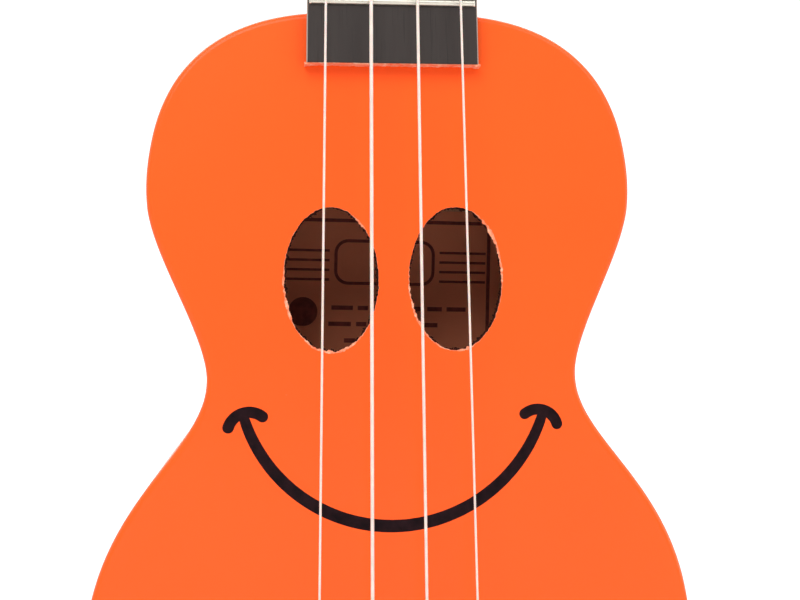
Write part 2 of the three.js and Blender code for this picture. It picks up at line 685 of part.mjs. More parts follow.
function plateGeometry() {
  const half = LUG_INNER + LUG_THICKNESS + 0.6;
  const front = PLATE_BACK_W + PLATE_THICKNESS;
  const blank = box([-half, -7, PLATE_BACK_W], [half, MESH_DISTANCE + 5, front]);
  const lugs = [-1, 1].map((side) => {
    const inner = side * LUG_INNER;
    const outer = side * (LUG_INNER + LUG_THICKNESS);
    const foot = box(
      [Math.min(inner, outer), MESH_DISTANCE - LUG_HALF_WIDTH, MESH_W],
      [Math.max(inner, outer), MESH_DISTANCE + LUG_HALF_WIDTH, PLATE_BACK_W + 0.5],
    );
    const round = rod('x', LUG_HALF_WIDTH, Math.min(inner, outer), Math.max(inner, outer), 20,
      [MESH_DISTANCE, MESH_W]);
    return join(foot, round);
  });
  const postHole = rod('z', POST_RADIUS + 0.25, PLATE_BACK_W - 1, front + 1, 24);
  const bearing = rod('x', LUG_HOLE_RADIUS, -half - 1, half + 1, 20, [MESH_DISTANCE, MESH_W]);
  return cut(join(blank, ...lugs), postHole, bearing);
}

// A knob that swells into a flat oval, with a blind hole for the worm's shaft.
function buttonGeometry(side) {
  const stations = [
    [0, 2.6, 2.6], [1.5, 2.8, 2.7], [3.5, 4.6, 3], [6.5, 7.4, 3.6], [10, 8.4, 3.9],
    [13.5, 7.4, 3.6], [16, 4.8, 2.8], [BUTTON_LENGTH, 2.4, 1.6],
  ];
  const rings = stations.map(([u, halfV, halfW]) => circle(16).map(
    (c) => new THREE.Vector3(side * (BUTTON_START_U + u), halfV * c.x, halfW * c.y),
  ));
  const bore = [BUTTON_START_U - 1, BUTTON_START_U + 7.5].map((u) => side * u).sort((a, b) => a - b);
  return cut(loft(rings), rod('x', WORM_CORE_RADIUS + SEAT_GAP, bore[0], bore[1], 20));
}

function postGeometry() {
  const shoulder = MESH_W + GEAR_THICKNESS / 2 + SEAT_GAP;
  const foot = MESH_W - GEAR_THICKNESS / 2 - 0.4;
  const profile = [
    [0, foot], [POST_FOOT_RADIUS, foot], [POST_FOOT_RADIUS, shoulder], [POST_RADIUS, shoulder],
    [POST_RADIUS, POST_TIP - 0.8], [POST_RADIUS - 0.8, POST_TIP], [0, POST_TIP],
  ].map(([radius, w]) => new THREE.Vector2(radius, w));
  const post = new THREE.LatheGeometry(profile, 24);
  post.rotateX(Math.PI / 2);
  const stringHole = rod('x', STRING_HOLE_RADIUS, -POST_RADIUS - 1, POST_RADIUS + 1, 10, [0, STRING_HOLE_W]);
  return cut(post, stringHole);
}

// The string's turns round its post, rising away from the headstock.
function windingGeometry(string) {
  const radius = string.diameter / 2;
  const turnRadius = POST_RADIUS + radius + 0.05;
  const steps = Math.round(WINDING_TURNS * WINDING_STEPS_PER_TURN);
  const start = string.side > 0 ? Math.PI : 0;
  const points = [];
  for (let i = 0; i <= steps; i += 1) {
    const turns = i / WINDING_STEPS_PER_TURN;
    const angle = start - string.side * 2 * Math.PI * turns;
    points.push(new THREE.Vector3(
      turnRadius * Math.cos(angle), turnRadius * Math.sin(angle),
      WINDING_W + radius + turns * (string.diameter + 0.08),
    ));
  }
  return tube(points, radius, 6, new THREE.Vector3(0, 0, 1));
}

function addTuners() {
  for (const string of STRINGS) {
    const tuner = new THREE.Group();
    tuner.position.set(string.side * POST_U, POST_V[string.post], 0);
    headstockFrame.add(tuner);
    addPart(`tuner_plate_${string.name}`, 'nickel', plateGeometry(), tuner);
    addPart(`tuner_post_${string.name}`, 'nickel', postGeometry(), tuner);
    addPart(`tuner_gear_${string.name}`, 'nickel', gearGeometry(), tuner);
    addPart(`winding_${string.name}`, 'nylon', windingGeometry(string), tuner);
    const worm = addPart(`tuner_worm_${string.name}`, 'nickel', wormGeometry(string.side), tuner);
    worm.position.set(0, MESH_DISTANCE, MESH_W);
    const button = buttonGeometry(string.side);
    const knob = addPart(`tuner_button_${string.name}`, 'tuner_button', button, tuner);
    knob.position.set(-string.side * POST_U, MESH_DISTANCE, MESH_W);
  }
}

addBody();
addNeck();
addBridge();
addStrings();
addTuners();

export default ukulele;
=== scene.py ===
"""Soprano ukulele: looks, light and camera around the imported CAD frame.

Metres. +Z runs along the neck, -Y points out of the soundboard and +X is the first string's side.
"""

import json
import math

import bmesh
import bpy
import numpy as np
from mathutils import Matrix, Vector, noise
from mathutils.geometry import tessellate_polygon


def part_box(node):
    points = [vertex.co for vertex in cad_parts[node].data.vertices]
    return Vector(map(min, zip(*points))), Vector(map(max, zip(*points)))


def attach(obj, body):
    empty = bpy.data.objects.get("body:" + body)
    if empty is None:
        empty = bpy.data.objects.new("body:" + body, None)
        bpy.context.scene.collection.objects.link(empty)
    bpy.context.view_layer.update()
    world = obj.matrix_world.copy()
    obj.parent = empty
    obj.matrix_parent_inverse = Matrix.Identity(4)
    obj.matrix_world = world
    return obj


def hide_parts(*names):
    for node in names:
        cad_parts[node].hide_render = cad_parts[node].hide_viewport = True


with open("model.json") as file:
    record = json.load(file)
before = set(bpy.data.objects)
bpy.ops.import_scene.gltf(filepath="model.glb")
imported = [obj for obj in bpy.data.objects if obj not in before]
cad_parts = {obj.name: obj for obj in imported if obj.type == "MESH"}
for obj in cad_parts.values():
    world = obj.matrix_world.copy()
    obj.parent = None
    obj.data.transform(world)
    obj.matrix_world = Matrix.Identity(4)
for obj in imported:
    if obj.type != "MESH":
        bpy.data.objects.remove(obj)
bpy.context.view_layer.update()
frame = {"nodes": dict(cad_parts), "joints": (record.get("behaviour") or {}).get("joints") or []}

MM = 0.001
INSTRUMENT = "instrument"
STRINGS = ("g", "c", "e", "a")

# ---- Places read from the frame ----

TOP_LOW, TOP_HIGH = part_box("top_plate")
BACK_LOW, BACK_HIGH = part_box("back_plate")
BOARD_LOW, BOARD_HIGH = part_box("fretboard")
NUT_LOW, NUT_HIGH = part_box("nut")
BRIDGE_LOW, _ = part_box("bridge")
SADDLE_LOW, SADDLE_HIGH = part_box("saddle")
JOINTS = {joint["name"]: joint for joint in frame["joints"]}
TAIL_Z = TOP_LOW.z
PLATE = TOP_HIGH.y - TOP_LOW.y
SIDE_WALL = 1.75 * MM

DOT_FRETS = (5, 7, 10)

# ---- Camera: placed from the middle of the soundboard's lower edge ----

CAMERA_FROM_TAIL = Vector((-20.3, -295.7, 178.0)) * MM
CAMERA_TURN = math.radians(-7.25)
CAMERA_TIP = math.radians(-1.39)
CAMERA_ROLL = math.radians(-0.39)
CAMERA_LENS = 54.0
CAMERA_SHIFT = (-0.0796, -0.0126)

# ---- Sizes of the pieces made here ----

OUTLINE_STEP = 1.2 * MM
EDGE_ROUND = 1.6 * MM
HOLE_CHAMFER = 0.3 * MM
CHIP_LEAST = 0.07 * MM
SMILE_CENTRE = (0.2 * MM, 151.0 * MM)
SMILE_RADIUS = 38.6 * MM
SMILE_ENDS = (math.radians(-73.0), math.radians(71.7))
SMILE_STROKE = 3.15 * MM
SMILE_END_STROKE = 2.5 * MM
TICK_STROKE = 2.8 * MM
TICK_RADIUS = 5.2 * MM
TICK_REACH = 1.6 * MM
TICK_SPREAD = math.radians(56)
PAINT_FILM = 0.05 * MM
HEADSTOCK_JOIN = 19 * MM
HEADSTOCK_ROUND = 1.1 * MM
VENEER = 0.9 * MM
FLOOR_RADIUS = 3.0
CHIPS = (
    # which hole, direction from its middle and spread in degrees, width
    (-1, 211, 13, 0.75 * MM),
    (-1, 180, 18, 0.34 * MM),
    (-1, 272, 26, 0.48 * MM),
    (-1, 63, 7, 0.45 * MM),
    (1, 55, 14, 0.5 * MM),
    (1, 18, 26, 0.42 * MM),
    (1, 222, 40, 0.38 * MM),
    (1, 279, 5, 0.5 * MM),
)
LABEL_CENTRE = (0.8 * MM, 168.0 * MM)
LABEL_SIZE = (68 * MM, 50 * MM)
LABEL_TILT = math.radians(-1.6)
INK_LIFTS = (0.26 * MM, 0.21 * MM)
LIGHTS = (
    # name, place from the body's middle, width and height, watts
    ("key", (-0.32, -0.75, 0.72), (0.7, 0.7), 7.5),
    ("fill", (0.6, -0.75, 0.72), (0.7, 0.7), 4.2),
    ("edge", (0.9, -0.05, -0.15), (0.12, 1.0), 2),
)


# ---- Materials ----

class Shader:
    """A material's node tree, with short calls for the nodes that the materials share."""

    def __init__(self, name, roughness=0.5, **settings):
        self.material = bpy.data.materials.new(name)
        self.material.use_nodes = True
        self.nodes = self.material.node_tree.nodes
        self.links = self.material.node_tree.links
        self.bsdf = self.nodes["Principled BSDF"]
        self.bsdf.inputs["Roughness"].default_value = roughness
        for key, value in settings.items():
            name = key.replace("_", " ").title().replace("Ior", "IOR")
            self.bsdf.inputs[name].default_value = value
        self.place = self.nodes.new("ShaderNodeTexCoord").outputs["Object"]

    def add(self, kind, inputs=(), **settings):
        node = self.nodes.new("ShaderNode" + kind)
        for key, value in settings.items():
            setattr(node, key, value)
        for key, value in dict(inputs).items():
            if isinstance(value, bpy.types.NodeSocket):
                self.links.new(value, node.inputs[key])
            else:
                node.inputs[key].default_value = value
        return node

    def noise(self, scale, detail=3.0, roughness=0.5, stretch=(1, 1, 1), distortion=0.0):
        place = self.add("Mapping", {"Vector": self.place, "Scale": stretch}).outputs["Vector"]
        inputs = {"Vector": place, "Scale": scale, "Detail": detail, "Roughness": roughness,
                  "Distortion": distortion}
        return self.add("TexNoise", inputs).outputs["Fac"]

    def math(self, operation, a, b):
        return self.add("Math", {0: a, 1: b}, operation=operation).outputs[0]

    def ramp(self, fac, stops):
        node = self.add("ValToRGB", {"Fac": fac})
        elements = node.color_ramp.elements
        while len(elements) < len(stops):
            elements.new(0.5)
        for element, (position, colour) in zip(elements, stops):
            element.position = position
            element.color = (*colour, 1)
        return node.outputs["Color"]

    def mask(self, fac, low, high):
        """0 where fac is at most low, and 1 where it is at least high."""
        inputs = {"Value": fac, "From Min": low, "From Max": high}
        return self.add("MapRange", inputs, clamp=True).outputs["Result"]

    def spread(self, fac, low, high):
        """low where fac is 0, and high where it is 1."""
        inputs = {"Value": fac, "To Min": low, "To Max": high}
        return self.add("MapRange", inputs, clamp=True).outputs["Result"]

    def mix(self, fac, base, colour):
        """A colour laid over a base socket."""
        node = self.add("Mix", {"Factor": fac, 6: base, 7: (*colour, 1)}, data_type="RGBA")
        return node.outputs[2]

    def colour(self, source):
        self.links.new(source, self.bsdf.inputs["Base Color"])

    def tint(self, fac, *stops):
        """Base colour from a ramp of (position, colour) stops."""
        self.colour(self.ramp(fac, stops))

    def rough(self, fac, low, high):
        self.links.new(self.spread(fac, low, high), self.bsdf.inputs["Roughness"])

    def bump(self, height, distance, strength=1.0):
        """Adds a bump on top of any bump that is there already."""
        inputs = {"Height": height, "Distance": distance, "Strength": strength}
        node = self.add("Bump", inputs)
        normal = self.bsdf.inputs["Normal"]
        if normal.is_linked:
            self.links.new(normal.links[0].from_socket, node.inputs["Normal"])
        self.links.new(node.outputs["Normal"], normal)


ORANGE = (0.95, 0.103, 0.0135)
ORANGE_DEEP = (0.93, 0.094, 0.012)
LACQUER_IOR = 1.27


def paint():
    """Orange lacquer, with faint drift of tone, specks of dust and grain showing through."""
    shader = Shader("orange_lacquer", ior=LACQUER_IOR)
    base = shader.ramp(shader.noise(9, 3), [(0.3, ORANGE_DEEP), (0.7, ORANGE)])
    specks = shader.mask(shader.noise(900, 2), 0.73, 0.78)
    shader.colour(shader.mix(shader.math("MULTIPLY", specks, 0.35), base, (0.75, 0.09, 0.02)))
    shader.rough(shader.noise(60, 3), 0.2, 0.3)
    shader.bump(shader.noise(420, 2), 0.05 * MM, 0.35)
    shader.bump(shader.noise(40, 4, stretch=(14, 14, 0.5)), 0.03 * MM, 0.35)
    return shader.material


def hole_wall_shade():
    """The sawn wall of a sound hole: thin layers of wood, coloured nearly black as painted shade for the
    shadow in the hole, with darker blotches.
    """
    shader = Shader("sawn_wall_painted_shade", 0.85, specular_ior_level=0.05)
    layers = shader.noise(1500, 2, 0.5, (0.2, 1, 0.2))
    stains = shader.noise(240, 4, 0.7)
    # Painted shade: both colours are kept nearly black for the shadow on the wall.
    base = shader.ramp(layers, [(0.35, (0.022, 0.007, 0.005)), (0.7, (0.055, 0.015, 0.010))])
    shader.colour(shader.mix(shader.mask(stains, 0.5, 0.7), base, (0.012, 0.005, 0.004)))
    shader.bump(stains, 0.1 * MM, 0.5)
    return shader.material


def chipped_edge():
    """Pale wood where the lacquer has broken away."""
    shader = Shader("chipped_edge", 0.8, specular_ior_level=0.2)
    flakes = shader.noise(600, 4, 0.7)
    shader.tint(flakes, (0.38, (0.80, 0.16, 0.07)), (0.56, (0.80, 0.31, 0.18)),
                (0.74, (0.86, 0.62, 0.46)))
    shader.bump(flakes, 0.08 * MM, 0.6)
    return shader.material


def wood(name, dark, light, scale=1.0, roughness=0.7, along="Z", bump=0.08, gloss=0.0):
    """Straight-grained wood with pores, its grain along one axis."""
    shader = Shader(name, roughness, specular_ior_level=0.25, coat_weight=gloss, coat_roughness=0.2)
    long_axis = "XYZ".index(along)
    stretch = [1.0, 1.0, 1.0]
    stretch[long_axis] = 0.06
    rings = shader.noise(55 * scale, 4, 0.55, stretch, 0.6)
    fibres = shader.noise(520 * scale, 3, 0.6, stretch)
    stretch[long_axis] = 0.03
    pores = shader.mask(shader.noise(900 * scale, 2, 0.5, stretch), 0.62, 0.72)
    base = shader.ramp(rings, [(0.3, dark), (0.7, light)])
    base = shader.mix(shader.spread(fibres, 0.0, 0.35), base, dark)
    base = shader.mix(shader.math("MULTIPLY", pores, 0.5), base, tuple(0.45 * c for c in dark))
    shader.colour(base)
    shader.rough(fibres, roughness - 0.08, roughness + 0.1)
    shader.bump(fibres, bump * MM, 0.4)
    shader.bump(shader.math("SUBTRACT", 1.0, pores), bump * MM, 0.3)
    return shader.material


def metal(name, colour, roughness=0.25, brushed=(1, 1, 1)):
    shader = Shader(name, roughness, metallic=1.0)
    tarnish = shader.noise(120, 4, 0.6)
    shader.tint(tarnish, (0.3, tuple(0.8 * c for c in colour)), (0.65, colour))
    scratches = shader.noise(1500, 2, 0.5, brushed)
    shader.rough(scratches, roughness - 0.08, roughness + 0.15)
    shader.bump(scratches, 0.01 * MM, 0.25)
    return shader.material


def nylon():
    shader = Shader("clear_nylon", 0.28, subsurface_weight=0.35, subsurface_scale=0.4 * MM, ior=1.53)
    shader.tint(shader.noise(400, 2), (0.3, (0.66, 0.57, 0.51)), (0.7, (0.73, 0.65, 0.58)))
    shader.bump(shader.noise(2500, 2, 0.5, (1, 1, 0.1)), 0.01 * MM, 0.3)
    return shader.material


def bone():
    shader = Shader("bone", 0.42, subsurface_weight=0.15, subsurface_scale=1 * MM)
    streaks = shader.noise(260, 4, 0.6, (0.15, 1, 1))
    shader.tint(streaks, (0.3, (0.66, 0.57, 0.43)), (0.65, (0.78, 0.72, 0.60)))
    shader.bump(streaks, 0.03 * MM, 0.3)
    return shader.material


def pearl():
    """Moulded cream plastic with soft cloudy swirls."""
    shader = Shader("pearl_button", 0.22, coat_weight=0.5, coat_roughness=0.06,
                    subsurface_weight=0.2, subsurface_scale=1 * MM)
    cloud = shader.noise(130, 4, 0.55, (1, 0.4, 1), 2.2)
    shader.tint(cloud, (0.32, (0.38, 0.30, 0.20)), (0.5, (0.55, 0.47, 0.36)),
                (0.68, (0.66, 0.60, 0.50)))
    shader.rough(cloud, 0.16, 0.3)
    return shader.material


def smile_paint():
    shader = Shader("black_paint", 0.45, specular_ior_level=0.08)
    shader.tint(shader.noise(260, 4, 0.7), (0.35, (0.004, 0.001, 0.002)), (0.7, (0.017, 0.005, 0.007)))
    shader.bump(shader.noise(700, 3), 0.02 * MM, 0.4)
    return shader.material


def paper():
    shader = Shader("label_paper", 0.85, specular_ior_level=0.15)
    fibres = shader.noise(700, 4, 0.7)
    stains = shader.noise(30, 3)
    base = shader.ramp(stains, [(0.3, (0.68, 0.21, 0.11)), (0.7, (0.82, 0.27, 0.145))])
    shader.colour(shader.mix(shader.spread(fibres, 0.0, 0.3), base, (0.88, 0.32, 0.18)))
    shader.bump(fibres, 0.03 * MM, 0.4)
    return shader.material


def label_ink():
    shader = Shader("label_ink", 0.7, specular_ior_level=0.15)
    shader.tint(shader.noise(900, 3), (0.3, (0.17, 0.036, 0.028)), (0.7, (0.26, 0.055, 0.042)))
    return shader.material


def floor_paper():
    shader = Shader("studio_floor", 0.9)
    shader.tint(shader.noise(3, 2), (0.0, (0.67, 0.67, 0.67)), (1.0, (0.71, 0.71, 0.71)))
    shader.bump(shader.noise(300, 2), 0.05 * MM, 0.1)
    return shader.material


# ---- Mesh helpers ----

def dress(node, material):
    """Gives a CAD node one material."""
    piece = frame["nodes"][node]
    piece.data.materials.clear()
    piece.data.materials.append(material)
    return piece


def weld(piece):
    """Joins the corners of a CAD node's facets, so that its edges can be eased or smoothed."""
    piece.modifiers.new("weld", "WELD").merge_threshold = 1e-6


def soften(node, material, width, segments=2, angle=30):
    """Gives a CAD node a material and eases its edges."""
    piece = dress(node, material)
    weld(piece)
    flat = piece.modifiers.new("flat", "DECIMATE")
    flat.decimate_type = "DISSOLVE"
    flat.angle_limit = math.radians(1)
    bevel = piece.modifiers.new("eased", "BEVEL")
    bevel.width = width
    bevel.segments = segments
    bevel.limit_method = "ANGLE"
    bevel.angle_limit = math.radians(angle)
    bevel.use_clamp_overlap = True


def cad_points(node):
    """A CAD node's vertices, in the row frame."""
    return [vert.co for vert in frame["nodes"][node].data.vertices]


def face_loops(node, normal, level):
    """Closed loops of points round a CAD node's face in one plane, longest first."""
    normal = Vector(normal)
    work = bmesh.new()
    work.from_mesh(frame["nodes"][node].data)
    bmesh.ops.remove_doubles(work, verts=work.verts, dist=5e-6)
    # A dict keeps the faces in order, so a loop starts at the same corner in every run.
    flat = dict.fromkeys(
        face for face in work.faces
        if all(abs(vert.co.dot(normal) - level) < 0.01 * MM for vert in face.verts))
    following = {}
    for face in flat:
        for corner in face.loops:
            if sum(other in flat for other in corner.edge.link_faces) == 1:
                following[corner.vert] = corner.link_loop_next.vert
    loops = []
    while following:
        start, vert = following.popitem()
        loop = [start.co.copy()]
        while vert != start:
            loop.append(vert.co.copy())
            vert = following.pop(vert)
        loops.append(loop)
    work.free()
    return sorted(loops, key=loop_length, reverse=True)


def loop_length(loop):
    return sum((a - b).length for a, b in zip(loop, loop[1:] + loop[:1]))


def smooth_loop(points, spacing, corner=180):
    """A closed smooth curve through 2D points, resampled evenly. Bends sharper than `corner`
    degrees stay sharp."""
    p = np.array(points, float)
    step = np.roll(p, -1, 0) - p
    h = np.linalg.norm(step, axis=1)[:, None]
    slope = step / h
    before_h = np.roll(h, 1, 0)
    before = np.roll(slope, 1, 0)
    tangent = (before * h + slope * before_h) / (h + before_h)
    bend = np.degrees(np.arccos(np.clip((before * slope).sum(1), -1, 1)))
    sharp = (bend > corner)[:, None]
    leave = np.where(sharp, slope, tangent)
    arrive = np.roll(np.where(sharp, before, tangent), -1, 0)
    after = np.roll(p, -1, 0)
    rows = []
    for t in np.linspace(0, 1, 12, endpoint=False):
        rows.append((2 * t**3 - 3 * t**2 + 1) * p + (t**3 - 2 * t**2 + t) * h * leave
                    + (3 * t**2 - 2 * t**3) * after + (t**3 - t**2) * h * arrive)
    return even_loop(np.stack(rows, 1).reshape(-1, 2), spacing)


def even_loop(dense, spacing):
    closed = np.vstack([dense, dense[:1]])
    run = np.concatenate([[0], np.cumsum(np.linalg.norm(np.diff(closed, axis=0), axis=1))])
    count = max(8, int(round(run[-1] / spacing)))
    at = np.linspace(0, run[-1], count, endpoint=False)
    return np.stack([np.interp(at, run, closed[:, 0]), np.interp(at, run, closed[:, 1])], 1)


def anticlockwise(loop):
    after = np.roll(loop, -1, 0)
    area = (loop[:, 0] * after[:, 1] - after[:, 0] * loop[:, 1]).sum()
    return loop if area > 0 else loop[::-1]


def inset_loop(loop, distance):
    """An anticlockwise loop moved inwards."""
    along = np.roll(loop, -1, 0) - np.roll(loop, 1, 0)
    along /= np.linalg.norm(along, axis=1)[:, None]
    return loop + distance * np.stack([-along[:, 1], along[:, 0]], 1)


def round_edge(radius, steps=8):
    """(inset, depth) pairs round a quarter circle, from the flat face to the side."""
    angles = np.linspace(0, math.pi / 2, steps + 1)
    return [(radius * (1 - math.sin(a)), radius * (1 - math.cos(a))) for a in angles]


class Skin:
    """Collects the vertices and faces of one mesh, with a material number for each face."""

    def __init__(self):
        self.verts, self.faces, self.slots = [], [], []

    def ring(self, points):
        start = len(self.verts)
        self.verts.extend(points)
        return list(range(start, len(self.verts)))

    def face(self, corners, slot=0):
        self.faces.append(tuple(corners))
        self.slots.append(slot)

    def band(self, a, b, slot=0, closed=True):
        count = len(a)
        for i in range(count if closed else count - 1):
            j = (i + 1) % count
            self.face((a[i], a[j], b[j], b[i]), slot)

    def bands(self, rings, slot=0, closed=True):
        """Faces from each ring to the next."""
        for a, b in zip(rings, rings[1:]):
            self.band(a, b, slot, closed)

    def fill(self, rings, slot=0):
        """Fills a flat outline, with holes, whose corners are rings of vertices."""
        loops = [[Vector(self.verts[i]) for i in ring] for ring in rings]
        flat = [i for ring in rings for i in ring]
        for triangle in tessellate_polygon(loops):
            self.face([flat[i] for i in triangle], slot)

    def cap(self, ring):
        """Fills a ring with faces that meet at its middle."""
        centre = sum((Vector(self.verts[i]) for i in ring), Vector()) / len(ring)
        self.verts.append(centre)
        tip = len(self.verts) - 1
        for i, corner in enumerate(ring):
            self.face((corner, ring[(i + 1) % len(ring)], tip))

    def prism(self, a, b):
        """Joins two rings and fills both."""
        self.band(a, b)
        self.fill([a])
        self.fill([b])

    def mesh(self, name, materials):
        mesh = bpy.data.meshes.new(name)
        mesh.from_pydata([tuple(v) for v in self.verts], [], self.faces)
        for material in materials:
            mesh.materials.append(material)
        mesh.polygons.foreach_set("material_index", self.slots)
        return mesh

    def piece(self, name, materials, slot, node_names=(), body=INSTRUMENT, smooth_angle=35):
        """A mesh object that rides on a body and stands for the named CAD nodes."""
        mesh = self.mesh(name, materials if isinstance(materials, list) else [materials])
        work = bmesh.new()
        work.from_mesh(mesh)
        bmesh.ops.remove_doubles(work, verts=work.verts, dist=1e-7)
        bmesh.ops.recalc_face_normals(work, faces=work.faces)
        work.to_mesh(mesh)
        work.free()
        mesh.polygons.foreach_set("use_smooth", [True] * len(mesh.polygons))
        mesh.set_sharp_from_angle(angle=math.radians(smooth_angle))
        piece = bpy.data.objects.new(name, mesh)
        bpy.context.scene.collection.objects.link(piece)
        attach(piece, body)
        if node_names:
            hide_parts(*node_names)
        even = piece.modifiers.new("even_shading", "WEIGHTED_NORMAL")
        even.keep_sharp = True
        return piece


def loft(name, rings, material, capped=True, **settings):
    """A skin over rings of points, with both ends closed if it is capped."""
    skin = Skin()
    numbered = [skin.ring(ring) for ring in rings]
    skin.bands(numbered)
    if capped:
        skin.cap(numbered[0])
        skin.cap(numbered[-1])
    return skin.piece(name, material, **settings)


def full_turn(count):
    return np.linspace(0, 2 * math.pi, count, endpoint=False)


def circle(centre, radius, side, up, count):
    return [centre + radius * (math.cos(a) * side + math.sin(a) * up) for a in full_turn(count)]


def sweep_rings(path, radius, sides, across):
    """Rings of one radius round a path of points."""
    rings = []
    for i, point in enumerate(path):
        along = (path[min(i + 1, len(path) - 1)] - path[max(i - 1, 0)]).normalized()
        side = (across - along * across.dot(along)).normalized()
        rings.append(circle(point, radius, side, along.cross(side), sides))
    return rings


def rounded_path(corners, reach):
    """A path through corner points, each inner bend rounded over `reach` on both sides."""
    path = [corners[0]]
    for before, corner, after in zip(corners, corners[1:], corners[2:]):
        a = corner + (before - corner).normalized() * min(reach, (before - corner).length * 0.45)
        b = corner + (after - corner).normalized() * min(reach, (after - corner).length * 0.45)
        for t in np.linspace(0, 1, 7):
            path.append(a * (1 - t) ** 2 + corner * 2 * t * (1 - t) + b * t * t)
    path.append(corners[-1])
    return path


def around(foot, across, up, out):
    """Maps (a, b, height) round an axis to the row frame."""
    return lambda a, b, h: foot + across * a + up * b + out * h


def lathe(name, profile, place, material, sides, **settings):
    """A turned piece from (radius, height) pairs in mm, left open if they come full circle."""
    rings = [[place(radius * MM * math.cos(a), radius * MM * math.sin(a), height * MM)
              for a in full_turn(sides)] for radius, height in profile]
    loft(name, rings, material, capped=profile[0] != profile[-1], **settings)


# ---- Body ----

def plan_loop(loop, spacing):
    """A body loop as an even, anticlockwise (x, z) loop."""
    return anticlockwise(smooth_loop([(p.x, p.z) for p in loop], spacing))


def at_depth(loop, y):
    return [Vector((x, y, z)) for x, z in loop]


def ragged_hole(loop):
    """A hole's loop with the small unevenness of a sawn and painted edge."""
    rough = []
    for x, z in loop:
        place = Vector((x, 0, z))
        rough.append(noise.noise(place / (2.6 * MM)) + 1.2 * noise.noise(place / (0.55 * MM)))
    return inset_loop(loop, np.array(rough)[:, None] * 0.15 * MM)


def chip_widths(loop):
    """How far the lacquer is broken back from each point of a hole's edge."""
    middle = loop.mean(0)
    side = 1 if middle[0] > 0 else -1
    widths = []
    for x, z in loop:
        angle = math.degrees(math.atan2(z - middle[1], x - middle[0]))
        width = CHIP_LEAST
        for chip_side, direction, spread, reach in CHIPS:
            if chip_side == side:
                off = (angle - direction + 180) % 360 - 180
                width += reach * math.exp(-(off / spread) ** 2)
        place = Vector((x, 5 * side, z))
        flakes = 1 + 0.9 * noise.noise(place / (0.9 * MM)) + 0.7 * noise.noise(place / (0.4 * MM))
        widths.append(width * max(flakes, 0.15))
    return np.array(widths)[:, None]


def splinters(loop):
    """How far the torn fibres at a hole's back edge reach into it, at each point."""
    reach = []
    for x, z in loop:
        place = Vector((x, 0.05, z))
        tooth = abs(noise.noise(place / (0.45 * MM))) + 0.5 * noise.noise(place / (3 * MM))
        reach.append(max(0.2 + 1.0 * tooth, 0.03) * MM)
    return np.array(reach)[:, None]


def plate_side(skin, plan, face, inward):
    """Rings from a plate's face down its rounded outer edge, to where the side wall starts."""
    rings = [skin.ring(at_depth(inset_loop(plan, inset), face + inward * depth))
             for inset, depth in [*round_edge(EDGE_ROUND), (0.0, PLATE)]]
    skin.bands(rings)
    return rings


def soundboard(materials):
    """The painted top: flat face, rounded outer edge and two sawn sound holes."""
    outer, *holes = face_loops("top_plate", (0, -1, 0), 0.0)
    skin = Skin()
    rings = plate_side(skin, plan_loop(outer, OUTLINE_STEP), 0.0, 1)
    faces, undersides = [rings[0]], [rings[-1]]
    for hole in holes:
        loop = ragged_hole(plan_loop(hole, 0.25 * MM))
        chips = chip_widths(loop)
        face = skin.ring(at_depth(inset_loop(loop, -0.35 * chips), 0))
        wall = skin.ring(at_depth(inset_loop(loop, 0.65 * chips), HOLE_CHAMFER))
        under = skin.ring(at_depth(inset_loop(loop, splinters(loop)), PLATE))
        skin.band(face, wall, 1)
        # Slot 2, the wall, takes a nearly black material: painted shade.
        skin.band(wall, under, 2)
        faces.append(face)
        undersides.append(under)
    skin.fill(faces, 0)
    skin.fill(undersides, 3)
    skin.piece("soundboard", materials, node_names=["top_plate"], slot="painted_top")


def back_panel(materials):
    outer = face_loops("back_plate", (0, 1, 0), BACK_HIGH.y)[0]
    skin = Skin()
    rings = plate_side(skin, plan_loop(outer, OUTLINE_STEP), BACK_HIGH.y, -1)
    skin.fill([rings[0]], 0)
    skin.fill([rings[-1]], 1)
    skin.piece("back_panel", materials, node_names=["back_plate"], slot="painted_body")


def side_wall(name, side, node, materials):
    """Half of the side wall, from the middle of the neck end round to the tail."""
    outer = face_loops("top_plate", (0, -1, 0), 0.0)[0]
    plan = plan_loop(outer, OUTLINE_STEP)
    half = int(len(plan) / 2)
    start = int(np.argmax(plan[:, 1] - 1e3 * np.abs(plan[:, 0])))
    plan = np.roll(plan, -start, 0)
    keep = [*range(half + 1)] if side < 0 else [0, *range(len(plan) - 1, half - 1, -1)]

    def half_ring(loop, y):
        kept = loop[keep]
        kept[0, 0] = kept[-1, 0] = 0.0
        return skin.ring(at_depth(kept, y))

    skin = Skin()
    outside = [half_ring(plan, y) for y in np.linspace(TOP_HIGH.y, BACK_LOW.y, 10)]
    inside = [half_ring(inset_loop(plan, SIDE_WALL), y) for y in (BACK_LOW.y, TOP_HIGH.y)]
    skin.bands(outside, 0, closed=False)
    skin.bands([outside[-1], *inside, outside[0]], 1, closed=False)
    for end in (0, -1):
        skin.face([ring[end] for ring in (*outside, *inside)], 1)
    skin.piece(name, materials, node_names=[node], slot="painted_body")


# ---- Painted smile and paper label ----

def stroke_outline(path, half_width):
    """The outline of a stroke with round ends along a path of 2D points. half_width has one
    value for each point."""
    along = np.gradient(path, axis=0)
    along /= np.linalg.norm(along, axis=1)[:, None]
    normal = np.stack([-along[:, 1], along[:, 0]], 1)
    left = path + normal * half_width[:, None]
    right = path - normal * half_width[:, None]
    arc = np.linspace(math.pi / 2, -math.pi / 2, 13)[1:-1]

    def round_end(point, forward, sideways):
        reach = half_width[point]
        return np.array([path[point] + reach * (math.cos(a) * forward + math.sin(a) * sideways)
                         for a in arc])

    end = round_end(-1, along[-1], normal[-1])
    start = round_end(0, -along[0], -normal[0])
    return np.vstack([left, end, right[::-1], start])


def arc_path(centre, radius, start, end, count):
    angles = np.linspace(start, end, count)
    return np.stack([centre[0] + radius * np.cos(angles), centre[1] + radius * np.sin(angles)], 1)


